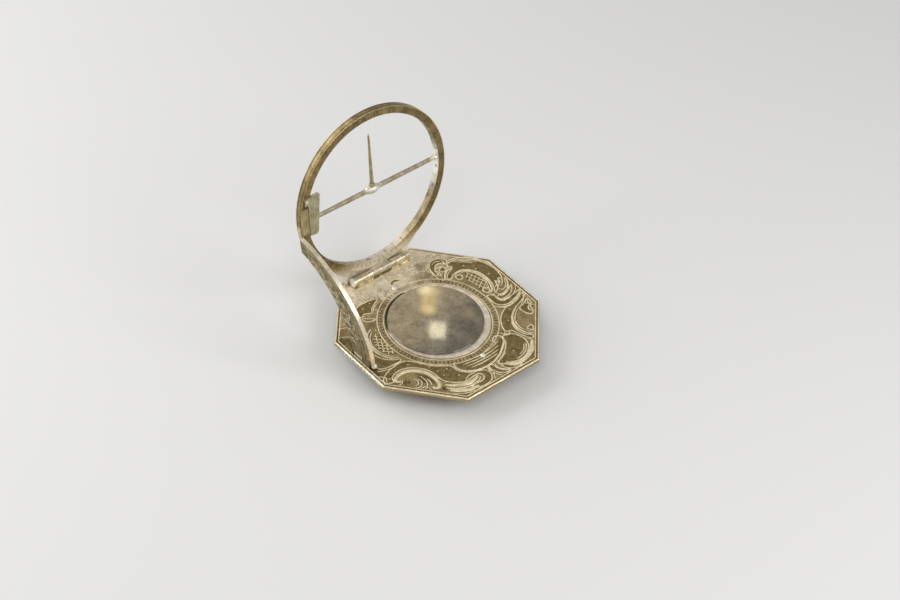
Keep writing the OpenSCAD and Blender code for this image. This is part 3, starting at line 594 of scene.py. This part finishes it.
# %% Dark islands on the plate
islands = [
    # Long S band, from the left corner to the bottom
    [(-28.4, -9.4), (-26.3, -7.9), (-23.5, -7), (-21, -6.6), (-18.6, -7), (-17, -8.2),
     (-15.7, -9.9), (-14.2, -12), (-12.6, -13.8), (-10.9, -15.1), (-9.2, -16.3), (-8.7, -17.6),
     (-8.6, -19), (-7.4, -20.8), (-5.4, -22.3), (-3, -23.2), (-1.5, -24.4), (-1.6, -26.2),
     (-2.8, -27.8), (-4.8, -28.4), (-7.4, -28.2), (-9.6, -27.2), (-8, -26.4), (-5.6, -26.6),
     (-4.1, -26), (-3.7, -24.8), (-4.3, -23.8), (-5.8, -23.6), (-7.4, -23.8), (-9.2, -24),
     (-11, -23.3), (-13, -21.8), (-14.4, -20), (-14.8, -18), (-14.9, -15.8), (-15.7, -13.4),
     (-17.1, -11.5), (-19.3, -9.8), (-21.8, -9), (-24, -9.2), (-25.8, -10.2), (-26.3, -11.6),
     (-27.6, -11.4), (-28.5, -10.6)],
    # Crescent at the bottom, and the small leaves beside it
    [(10.75, -16.75), (11.9, -16.2), (13.6, -16.6), (14.9, -18), (15.6, -19.9), (15.7, -21.75),
     (14.9, -23.8), (13, -25.5), (11.1, -26.4), (8.6, -26.6), (6.4, -25.9), (4.6, -25.3),
     (3.1, -24.2), (4.25, -23.1), (6.75, -21.9), (8.9, -20.3), (10.5, -18.4)],
    [(-0.1, -23.2), (-0.2, -25.2), (0.8, -27.1), (2.4, -28.2), (4.2, -28.2), (2.7, -27.2),
     (1.5, -25.4), (1.2, -23.4)],
    [(3.3, -25), (3.4, -26.2), (4.4, -27.6), (6.4, -28.4), (8.4, -28.4), (6.8, -27.6),
     (5.4, -26.8), (4.5, -25.6)],
    # Band round the cartouche at the right corner
    [(27.9, -5.6), (25.2, -6.4), (22.6, -7), (19.9, -7.6), (17.8, -8.6), (15.8, -10.2),
     (14.3, -12.2), (13.4, -14.4), (13.8, -15.6), (15, -16), (15.6, -17.6), (16.4, -19.8),
     (17.9, -22), (18.8, -21.2), (17.1, -19.3), (16.5, -16.9), (16.8, -14.6), (18.1, -12.4),
     (20, -10.6), (22.4, -9.2), (25.6, -8.1), (28.6, -6.6)],
    [(23.6, -9.9), (25.8, -9.3), (27.8, -8.4), (27.5, -10.4), (26.3, -11.5), (25.9, -12.9),
     (25, -14.1), (23.9, -13.7), (23.2, -12.2), (23, -10.8)],
    [(19.4, -18.2), (20.4, -17.6), (21.4, -17.8), (20.5, -19.5)],
    # Short bands above it
    [(18.8, -0.4), (18.45, -2.6), (18.6, -4.4), (19.6, -5.9), (21.7, -6.7), (24.4, -6.2),
     (27.2, -5.2), (28.7, -4.2), (26.8, -4.3), (24.6, -4.6), (22.4, -4.7), (21, -4.1),
     (20.4, -3), (20.6, -1.9), (20.1, -0.9)],
    [(20.9, -2.7), (21.2, -3.8), (22.8, -4.2), (24.8, -3.8), (26.6, -2.6), (27.8, -0.9),
     (26, -2), (24.2, -2.8), (22.6, -2.9), (21.8, -2.2)],
    # Large crescent at the right
    [(13.9, 12.5), (15.6, 14.1), (17.4, 14.8), (18.3, 15.6), (17.6, 16.5), (18.2, 17.4),
     (20, 17.6), (22.2, 16.9), (24.6, 15.2), (26.6, 12.9), (27.8, 10.2), (28.3, 7.2), (28.1, 4.8),
     (27.4, 2.9), (26.4, 3.6), (25.7, 1.7), (24.9, 3.2), (24.3, 1.2), (23.2, 0), (21.7, -0.9),
     (22.7, 1), (23.6, 3.2), (23.9, 5.8), (23.6, 8.4), (22.6, 10.7), (20.9, 12.3), (18.9, 13.1),
     (16.5, 12.7), (14.9, 11.8)],
    # Crown beside the ring's hinge
    [(12.2, 15.6), (12.1, 17.8), (12.9, 19.8), (14.6, 21.2), (16.6, 21.2), (18.2, 20),
     (18.8, 18.6), (17.6, 17.9), (16.9, 18.8), (15.2, 19.2), (13.8, 18.2), (13.1, 16.6),
     (12.9, 15.2)],
    [(14.3, 16.6), (15.5, 17.3), (16.6, 16.8), (16.9, 15.6), (15.8, 15.2), (14.9, 15.6)],
    # Fields on the left, partly behind the arc
    [(-17.4, 14.8), (-17.3, 17.8), (-15.6, 18.9), (-12.6, 19.2), (-9.6, 18.8), (-8.8, 18),
     (-10.8, 16.9), (-12.6, 15.7), (-13.4, 14.6), (-14.6, 14.9), (-15.8, 15.4)],
    [(-17.4, 14), (-16, 13.2), (-14.4, 11.9), (-15.6, 11.7), (-17.2, 12.6)],
    [(-24.5, 0.5), (-23.6, -1.5), (-22.2, -3.4), (-20.4, -4.8), (-18.9, -5.5), (-19.6, -6.2),
     (-22, -6.1), (-24.6, -5.9), (-26.4, -5), (-26.6, -3), (-25.6, -1)],
    # Comma beside the upper rivet
    [(-1.5, 20.1), (-1.1, 21.2), (0.1, 21.8), (1.4, 21.3), (1.9, 20.2), (1.1, 20.3), (0.2, 20.7),
     (-0.5, 20.3)],
]
for cx, cy, r in [(17.3, 10.8, 1.0), (20.3, 1.7, 1.1)]:
    islands.append([(cx + x, cy + y) for x, y in [polar(r, 60 * k) for k in range(6)]])
shell = [(-6.9, -17.4), (-7.3, -18.6), (-6.2, -20.3), (-4.4, -21.4), (-1.6, -22.2), (1.5, -22.2),
         (4.8, -21.2), (7.6, -19.5), (9.6, -17.8), (10.1, -16.5), (8.4, -17.2), (5, -18),
         (0.5, -18.3), (-3.6, -17.8)]
right_lens = [(18.5, 9.3), (20.3, 11.4), (21.8, 9.3), (22.6, 6.4), (22.3, 3.6), (21.2, 1.4),
              (19.1, 2.4), (18.7, 5.4)]
left_lens = [(-18.3, 7.2), (-20.1, 6), (-21.4, 3.4), (-21.4, 0.4), (-20.3, -2), (-18.7, -3.2),
             (-18.4, 0), (-18.3, 3.6)]
dark_field = (old_brass("dark_field", (0.18, 0.127, 0.047), (0.38, 0.28, 0.115), 700,
                        gloss=0.34, shade=0.52, metal=0.8), "plate_brass")
lay(fields("dark_islands", islands + [shell, right_lens, left_lens], 0.03), *PLATE, *dark_field)

# %% [markdown]
# ## Bright borders
# Each island gets a bright outline, because the graver's last cut runs along its edge.

# %% Bright borders
bright_cut = (old_brass("bright_cut", (0.58, 0.46, 0.26), (0.98, 0.84, 0.56), 900,
                        gloss=0.27, shade=0.46, metal=0.5), "pale_brass")
lay(strokes("island_borders", islands, 0.44, 0.06, closed=True), *PLATE, *bright_cut)

# %% [markdown]
# ## Broad strokes
# The big scrolls are drawn with the broadest strokes, which swell to more than a millimetre. The
# shell, the cartouche and the bands are a little narrower.

# %% Broad strokes
swelling = [
    # Big C-scroll near the left corner
    [(-24.4, -12.7), (-25.5, -12.3), (-25.4, -11.2), (-23.8, -10.4), (-21.5, -10.3), (-19.3, -11.2),
     (-17.3, -13), (-16.2, -15.2), (-15.8, -17.6), (-16.1, -19.8), (-17, -21), (-18.2, -20.9),
     (-18.4, -20)],
    # Flowing fronds below it, and the scroll at the bottom
    [(-15.2, -21.4), (-13.2, -23.2), (-11, -24.5), (-8.6, -25.1), (-6.4, -24.8), (-5.2, -24.2)],
    [(-15.4, -24), (-13, -26), (-10.4, -27.2), (-7.4, -27.4)],
    [(5.2, -25), (6, -26.4), (8.2, -27.2), (11, -27), (13.6, -26), (16, -24), (17.2, -22.6)],
]
broad = [
    # Frond between the two broad ones
    [(-15.8, -22.6), (-13.4, -24.6), (-11, -25.8), (-8.4, -26.2), (-6, -25.9), (-4.8, -25)],
    # Shell below the compass
    [(-7.2, -16.2), (-8.1, -17.2), (-8, -18.8), (-7, -20.5), (-5, -21.9), (-2, -22.8), (1.5, -22.8),
     (5, -21.8), (8, -19.9), (10.2, -18), (10.9, -16.4), (10.1, -15.1), (8.7, -15.1), (7.6, -16),
     (7.9, -17.1)],
    # Cartouche at the right corner
    [(20.2, -21), (18.4, -19.9), (17.4, -18), (17.2, -15.8), (17.9, -13.3), (19.5, -11.2),
     (21.6, -9.8), (23.2, -9)],
    # Bands on the right edge
    [(17.6, -5), (19, -6.6), (21.3, -7.4), (24.4, -7), (27, -5.8), (28.8, -3.8)],
    [(21.9, -1.2), (22.4, -2.2), (24, -2.4), (26, -1.4), (27.6, 0.4), (28.5, 2.6)],
    # Crescent with the trellis
    [(20, -0.1), (21.6, 0.6), (22.8, 2.8), (23.4, 5.8), (23, 8.6), (21.9, 10.9), (20.4, 12.2),
     (18.4, 12.8), (16.9, 12.3), (16.2, 11.2)],
    [(13.2, 12.6), (14.6, 14.3), (16.4, 15.3), (18.2, 15.3)],
    [(18.9, 18.6), (21, 18.2), (23.6, 17), (26, 14.8), (27.8, 12), (28.7, 8.6), (28.7, 5)],
    # Curl of the crown
    [(13.2, 14.2), (13.8, 16), (13.2, 17.2), (14.2, 17.9), (15.6, 17.7), (16.4, 16.8), (16, 15.6),
     (15, 15.4)],
    # Crescent on the left, under the arc
    [(-18.2, 9.2), (-20.5, 8), (-22.2, 5.2), (-22.9, 2), (-22.4, -1.2), (-20.8, -3.6),
     (-18.8, -4.6)],
]
print("broad strokes:", len(swelling) + len(broad))

# %% [markdown]
# ## Fine strokes
# Second lines, leaves and stems are cut with a finer tool. Near the hinge only faint traces of such
# lines are left on the rubbed ground. The flutes of the shell are four shallow curves, one below
# the other, each a little shorter and flatter.

# %% Fine strokes
fine = [
    # Acanthus in the big scroll
    [(-20.2, -14.6), (-19.8, -16), (-20.3, -17.2), (-21.6, -17.8), (-23, -17.4)],
    [(-18.6, -14.6), (-18.6, -17), (-19.4, -18.6), (-20.6, -19.6)],
    [(-17.8, -16.4), (-17.9, -18.2), (-18.4, -19.4)],
    [(-20.9, -14.2), (-20.6, -15.6), (-21.2, -16.5), (-22.4, -16.6)],
    [(-22.4, -18.6), (-20.8, -18.4), (-19.8, -19.4), (-19.6, -21)],
    [(-26.4, -13.4), (-25, -13.6), (-23.8, -12.6)],
    # Fronds, stem and leaves along the bottom
    [(-15.6, -25.4), (-13, -27.4), (-10, -28.4), (-6.6, -28.7)],
    [(-9.8, -24.2), (-8.2, -23), (-6.6, -22.6), (-5, -23)],
    [(-0.8, -22.6), (-0.7, -24.5), (-0.9, -26.5), (-2, -28.4)],
    [(-0.8, -22.6), (-0.9, -24.5), (-0.5, -26.5), (0.7, -28.4)],
    [(2, -23.4), (1.8, -24.8), (2.5, -26.4), (4.2, -27.8)],
    [(2.8, -23.3), (5.2, -22.9), (7.6, -21.9)],
    [(6, -27.6), (8.6, -27.9), (11.6, -27.5), (14.4, -26.3), (16.4, -24.6)],
    [(8.4, -25.9), (11, -25.6), (13.4, -24.4), (15, -22.4)],
    [(10.4, -25), (12.6, -24.2), (14.2, -22.4)], [(15.8, -20.6), (17.2, -22), (17.6, -23)],
    # Ring and stem beside the band, and the cartouche's second line
    [(13.4, -15), (12.6, -15.6), (12.6, -16.5), (13.4, -16.8), (14, -16.2), (13.8, -15.5)],
    [(11.4, -14.6), (12, -15.6), (12.4, -16.6)],
    [(20.6, -20.4), (19, -19.2), (18.1, -17.6), (18, -15.8), (18.6, -13.6), (20, -11.8),
     (21.8, -10.5), (23, -10)],
    [(25.9, -9.4), (26.6, -10.6), (25.4, -11.6), (25.2, -12.8), (26.4, -13.2)],
    [(27.6, -8.6), (26.8, -10), (27.4, -11.4), (28, -12)],
    [(24.6, -9.2), (26.8, -7.8), (28.6, -5.4)],
    # Scrolls on the right edge
    [(20.4, -3.3), (21, -4.7), (22.8, -5), (25, -4.6), (27.4, -3.4), (28.8, -1.4)],
    [(23.6, 0.2), (24, -0.8), (25.2, -0.9), (26.8, 0.4), (28, 2.6)],
    [(24.6, 0.6), (26, 1), (27.4, 3)],
    [(25, 2.8), (24.2, 1.6), (23.2, 1)], [(26.2, 3.4), (25.2, 1.6), (24, 0.6)],
    [(20, -0.8), (20.8, -0.9), (20.9, -1.6)],
    [(20.6, 0.7), (22.1, 3.2), (22.8, 6), (22.4, 8.6), (21.4, 10.6), (20, 11.8), (18.6, 12)],
    [(20, 17), (22, 16.4), (24.2, 14.8), (25.8, 12.8)], [(21.4, 16), (23, 15), (24.6, 13.2)],
    # Crown
    [(12.6, 12.4), (11.7, 14.4), (11.7, 16.8), (12.2, 18.8)],
    [(14.2, 19.9), (15.8, 20.4), (17, 19.6)], [(17.4, 19.8), (17.8, 18.8), (17, 18)],
    # Left side
    [(-18.2, 8.4), (-20, 7.2), (-21.7, 4.6), (-22.2, 1.8), (-21.7, -1), (-20.3, -3), (-18.6, -3.8)],
    [(-28.6, -7.4), (-27.2, -9), (-28, -10.4)], [(-27.6, -5.6), (-25, -6.6), (-22, -7)],
    [(-16.8, 14.6), (-15.6, 14.4), (-14.8, 13.2)], [(-12.9, 14.7), (-11.2, 16.1), (-8.6, 17)],
    [(-25.6, 2), (-24.6, 5), (-22.6, 7.6), (-20.4, 9.4)], [(-26.6, 4), (-25.2, 7), (-23, 9.6)],
]
for k in range(4):
    left, length = -6.3 + 0.6 * k, 15 - 1.7 * k
    fine.append([(x, -18.2 - 0.95 * k + (0.021 - 0.003 * k) * (x - 1.3) ** 2)
                 for x in [left + length * i / 6 for i in range(7)]])
rubbed_lines = [
    [(-16, 19.9), (-13, 19.8), (-10.6, 20.6), (-8.8, 22)],
    [(-15.6, 20.8), (-13, 20.6), (-11, 21.2), (-9.6, 22.4)],
    [(-14.6, 21.8), (-12.6, 21.6), (-11, 22.2)],
    [(-6.8, 22), (-7, 20.4), (-5.8, 19.4), (-4.6, 20.2)], [(4, 21), (6.4, 22.4), (9.4, 22)],
    [(6, 19), (8.4, 20), (11, 19)], [(-13, 25.6), (-6, 25.9), (1, 25.7)], [(-9, 24.4), (-2, 24.7)],
    [(-28.6, 8.6), (-26.6, 7), (-25.6, 4), (-26.4, 1)], [(-27.6, 12), (-25.4, 10.6), (-24.2, 8)],
    [(-26, 15), (-23.4, 14), (-21.8, 12)], [(-22.6, 18.6), (-20.6, 17.6), (-19.6, 15.6)],
]
print("fine strokes:", len(fine), "rubbed ones:", len(rubbed_lines))

# %% [markdown]
# ## Cutting them
# Under the broad and the fine strokes lie wider dark ones, painted shadows of the cut that show on
# both sides. The swelling and the rubbed strokes have none, and some short shades stand alone.

# %% Strokes on the plate
shades = [
    [(-25, -13.9), (-23.9, -12.9)], [(-24.4, -14.7), (-23.1, -13.2)],
    [(-23.4, -15), (-22.5, -13.9)],
    [(-19.3, -12.9), (-18, -14.9), (-17.4, -17.2), (-17.4, -19.2)],
    [(-19.7, -14), (-19.1, -15.8), (-19.4, -17.4)], [(-21, -20.2), (-19.9, -19.4), (-19, -18)],
    [(-17, -22.2), (-15.9, -23.4)], [(-16.6, -21.8), (-15.4, -22.8)], [(-14.2, -21), (-13, -21.9)],
]
cut_and_shadow = (old_brass("cut_and_shadow", (0.12, 0.09, 0.036), (0.24, 0.185, 0.08), 900, gloss=0.4),
              "plate_brass")
for name, lines, width, height, finish in [
        ("broad_shadows", broad, 1.15, 0.03, cut_and_shadow),
        ("fine_shadows", fine + shades, 0.82, 0.03, cut_and_shadow),
        ("swelling_strokes", swelling, 1.45, 0.09, bright_cut),
        ("broad_strokes", broad, 0.85, 0.08, bright_cut),
        ("fine_strokes", fine, 0.52, 0.06, bright_cut),
        ("rubbed_strokes", rubbed_lines, 0.34, 0.05, bright_cut)]:
    lay(strokes(name, lines, width, height), *PLATE, *finish)

# %% [markdown]
# ## Trellis
# Two lens-shaped islands are filled with a trellis: straight lines in two directions, each cut off
# where it leaves the island.

# %% Trellis
def inside(x, y, outline):
    """Whether a point lies in an outline."""
    hit = False
    for (x0, y0), (x1, y1) in zip(outline, outline[1:] + outline[:1]):
        if (y0 > y) != (y1 > y) and x < x0 + (y - y0) / (y1 - y0) * (x1 - x0):
            hit = not hit
    return hit


def trellis(outline, pitch, turned, lean=38, stride=0.2):
    """Lines that lean to both sides of a direction, tried at a stride along their length."""
    cx = sum(x for x, y in outline) / len(outline)
    cy = sum(y for x, y in outline) / len(outline)
    lines = []
    for way in (turned - lean, turned + lean):
        ux, uy = polar(1, way)
        for k in range(-9, 10):
            run = [(cx + ux * t * stride - uy * k * pitch, cy + uy * t * stride + ux * k * pitch)
                   for t in range(-50, 51)]
            run = [point for point in run if inside(*point, outline)]
            if len(run) > 3:
                lines.append([run[0], run[len(run) // 2], run[-1]])
    return lines


cross = trellis(right_lens, 1.25, 70) + trellis(left_lens, 1.2, 100)
lay(strokes("trellis", cross, 0.36, 0.05, tapered=False), *PLATE, *bright_cut)

# %% [markdown]
# ## Border lines and pearls
# Two fine lines follow the plate's eight sides, and small pearls are strewn over the islands.

# %% Border lines and pearls
def side_lines(inset):
    """The plate's eight sides, moved inwards by some millimetres."""
    flat, slant = PLATE_HALF - inset, CORNER_HALF - inset
    x, y = (slant - CORNER_Y * flat) / CORNER_X, (slant - CORNER_X * flat) / CORNER_Y
    corners = [(flat, y), (x, flat), (-x, flat), (-flat, y), (-flat, -y), (-x, -flat), (x, -flat),
               (flat, -y)]
    return [[a, b] for a, b in zip(corners, corners[1:] + corners[:1])]


dots = [(-18.7, -8.6), (-14.2, -13), (-13.4, -15.8), (-9.5, -20.8), (-13, -18.2), (-10.7, -16.8),
        (20.5, -8.7), (16.9, -12.1), (15.1, -16), (15, -18.5), (9.9, -22.8), (21.5, 13.9),
        (23.7, 10.7), (25.4, 6.7), (-17.2, 8.2), (-14.8, 17.4), (-11.6, 18.1), (-26.6, -10)]
pearls = [[(x - 0.16, y), (x + 0.16, y)] for x, y in dots]
lay(strokes("border_lines", side_lines(1.15) + side_lines(0.3), 0.36, 0.05, tapered=False),
    *PLATE, *bright_cut)
lay(strokes("pearls", pearls, 0.5, 0.09, tapered=False), *PLATE, *bright_cut)

# %% [markdown]
# ## The degree ring round the compass
# Between two circles lie short radial cuts, one every four degrees and each third one longer. They
# are worn away near the hinge.

# %% Degree ring
CIRCLE_RADII = (16.2, 18.15)
LONG_CUT, SHORT_CUT = (16.6, 17.8), (16.8, 17.5)
degree_cuts = []
for k in range(90):
    near, far = LONG_CUT if k % 3 == 0 else SHORT_CUT
    worn_away = 14 < k < 25
    if not worn_away:
        degree_cuts.append([polar(near, 4 * k), polar(far, 4 * k)])
degree_circles = [[polar(r, 6 * k) for k in range(60)] for r in CIRCLE_RADII]
lay(strokes("degree_cuts", degree_cuts, 0.42, 0.03, tapered=False), *PLATE, *cut_and_shadow)
lay(strokes("degree_circles", degree_circles, 0.36, 0.06, closed=True), *PLATE, *bright_cut)

# %% [markdown]
# ## Painted shadow beside the glass
# The glass lies loose and has slid towards the back, and on that side a black stroke in the narrow
# gap paints its shadow.

# %% Painted shadow
soot = (old_brass("soot", (0.008, 0.007, 0.005), (0.02, 0.017, 0.012), 900, gloss=0.7, metal=0.0),
        "plate_brass")
GAP_R = 15.5
gap = [polar(GAP_R, degrees) for degrees in range(92, 168, 4)]
lay(strokes("gap_shadow", [gap], 0.62, 0.5), *PLATE, *soot)

# %% [markdown]
# ## Words
# Numerals are made of flat text, and all those of one scale are joined into one mesh. Like the
# strokes, they are drawn in millimetres and laid in their place afterwards.

# %% Words
def words(name, labels, height):
    """Flat labels of (text, x, y, size, turn in degrees), in millimetres."""
    made = []
    for text, x, y, size, turned in labels:
        bpy.ops.object.text_add(location=(x * MM, y * MM, 0),
                                rotation=(0, 0, math.radians(turned)))
        label = bpy.context.object
        label.data.body = text
        label.data.size = size * MM
        label.data.align_x = "CENTER"
        label.data.align_y = "CENTER"
        label.data.extrude = height / 2 * MM
        label.data.resolution_u = 2
        made.append(label)
    bpy.ops.object.select_all(action="DESELECT")
    for label in made:
        label.select_set(True)
    bpy.context.view_layer.objects.active = made[0]
    bpy.ops.object.convert(target="MESH")
    bpy.ops.object.transform_apply(location=True, rotation=True, scale=True)
    bpy.ops.object.join()
    bpy.context.object.name = name
    return bpy.context.object


# %% [markdown]
# ## Hour numerals
# The hours stand on the ring's inner wall, with a long cut at each hour and short ones between.
# They are drawn on a flat strip and rolled into the ring. Noon is at the hinge.

# %% Hour scale
roman = ["XII", "I", "II", "III", "IIII", "V", "VI", "VII", "VIII", "IX", "X", "XI"]
hour_step = ring_in_r * math.radians(15) / MM
WALL_EDGE, QUARTERS_FROM, NUMERAL_SIZE = 1.0, 0.75, 1.25
strip, hour_cuts = [], []
for k in range(24):
    along = (k + 6) * hour_step
    strip.append((roman[k % 12], along + 0.5 * hour_step, 0.05, NUMERAL_SIZE, 0))
    hour_cuts.append([(along, -WALL_EDGE), (along, WALL_EDGE)])
    for quarter in (0.25, 0.5, 0.75):
        at = along + quarter * hour_step
        hour_cuts.append([(at, QUARTERS_FROM), (at, WALL_EDGE)])
lay(words("hour_numerals", strip, 0.16), *RING_WALL, *dark_field)
lay(strokes("hour_cuts", hour_cuts, 0.14, 0.08, tapered=False), *RING_WALL, *dark_field)

# %% [markdown]
# ## Quarter hours on the ring's face
# The face repeats the hours as plain cuts, four to the hour, so that the dial can be read from the
# front as well.

# %% Cuts on the ring's face
CUTS_FROM, HOURS_TO, QUARTERS_TO = 25.0, 26.3, 25.8
face_cuts = []
for k in range(96):
    outer = HOURS_TO if k % 4 == 0 else QUARTERS_TO
    face_cuts.append([polar(CUTS_FROM, 3.75 * k), polar(outer, 3.75 * k)])
lay(strokes("face_cuts", face_cuts, 0.16, 0.04, tapered=False), *RING_FACE, *dark_field)

# %% [markdown]
# ## Turned edge of the ring
# The lathe left a fine edge where the ring's face meets its outside. A thin bright thread along
# the corner stands for that rubbed edge and paints its highlight.

# %% Bright edge of the ring
edge_highlight = (old_brass("edge_highlight", (0.42, 0.32, 0.13), (0.82, 0.68, 0.36), 600,
                       gloss=0.26, metal=0.85), "pale_brass")
EDGE_R = 26.95
edge = [polar(EDGE_R, 6 * k) for k in range(60)]
lay(strokes("ring_edge", [edge], 0.18, 0.07, closed=True), *RING_FACE, *edge_highlight)

# %% [markdown]
# ## The arc's degree scale
# The arc reads the latitude. A scale follows its convex edge: fine circles with a cut at each
# degree, longer at each fifth, and numerals at each tenth. All of it is laid on the face that
# looks away from the dial. The concave edge is a circle about another middle, so the room beside
# the scale narrows towards the tip.

# %% Degree scale of the arc
INNER_R, INNER_SHIFT = 26.6, 4.5
SCALE_RADII = (30.8, 29.7, 28.2)
CUTS_OUT_R, NUMERALS_R, SCALE_IN_R = 30.75, 28.95, SCALE_RADII[-1]


def arc_point(degrees, r):
    """A point of the arc's flat drawing, with degrees counted up from its foot."""
    x, y = polar(r, degrees)
    return x - ARC_REACH, y + ARC_LIFT


def arc_inner(degrees):
    """How far the concave edge lies from the middle of the convex one."""
    shift = INNER_SHIFT * math.cos(math.radians(degrees))
    return math.sqrt(shift ** 2 + INNER_R ** 2 - INNER_SHIFT ** 2) - shift


arc_cuts, arc_words = [], []
for degree in range(5, 86):
    length = 1.15 if degree % 5 == 0 else 0.6
    arc_cuts.append([arc_point(degree, CUTS_OUT_R), arc_point(degree, CUTS_OUT_R - length)])
    if degree % 10 == 0:
        arc_words.append((str(90 - degree), *arc_point(degree, NUMERALS_R), 1.15, degree - 90))
arc_lines = [[arc_point(t, r) for t in range(4, 88, 4)] for r in SCALE_RADII]
arc_lines.append([arc_point(t, arc_inner(t) + 0.45) for t in range(8, 88, 4)])
arc_cut = (old_brass("arc_cut", (0.36, 0.29, 0.13), (0.78, 0.68, 0.42), 800, gloss=0.3, metal=0.7),
           "pale_brass")
lay(strokes("arc_lines", arc_lines, 0.2, 0.04, tapered=False), *ARC_FACE, *arc_cut)
lay(strokes("arc_cuts", arc_cuts, 0.16, 0.04, tapered=False), *ARC_FACE, *arc_cut)
lay(words("arc_numerals", arc_words, 0.05), *ARC_FACE, *arc_cut)

# %% [markdown]
# ## Fronds on the arc
# Inside the scale a wavy stem carries a curled leaf on either side in turn. The leaves grow with
# the room between the scale and the concave edge.

# %% Fronds of the arc
def between(degrees):
    """The radius midway between the concave edge and the scale."""
    return 0.5 * (arc_inner(degrees) + SCALE_IN_R)


fronds = [[arc_point(t, between(t) + 0.75 * math.sin(math.radians(11 * t)))
           for t in range(10, 82, 2)]]
curled = [(-1.5, 0), (0.5, 0.55), (2.6, 0.85), (3.6, 0.35), (2.4, 0.25)]
pointed = [(0, 0), (2, 0.7), (4, 0.95)]
for k, at in enumerate(range(12, 80, 4)):
    side = 1 if k % 2 else -1
    deep = 0.40 * side * (SCALE_IN_R - arc_inner(at))
    for leaf in (curled, pointed):
        fronds.append([arc_point(at + on, between(at) + out * deep) for on, out in leaf])
lay(strokes("arc_fronds", fronds, 0.36, 0.05), *ARC_FACE, *arc_cut)

# %% [markdown]
# ## The floor
# The floor is one plane with a very pale material. It isn't part of the dial.

# %% The floor
bpy.ops.object.select_all(action="DESELECT")
bpy.ops.mesh.primitive_plane_add(size=3, location=(0, 0, 0))
floor = bpy.context.object
floor.name = "floor"
paper = Shader("floor_paper")
paper.set(Base_Color=(0.72, 0.715, 0.70, 1), Roughness=0.9)
floor.data.materials.append(paper.material)
print("floor at height", floor.location.z)
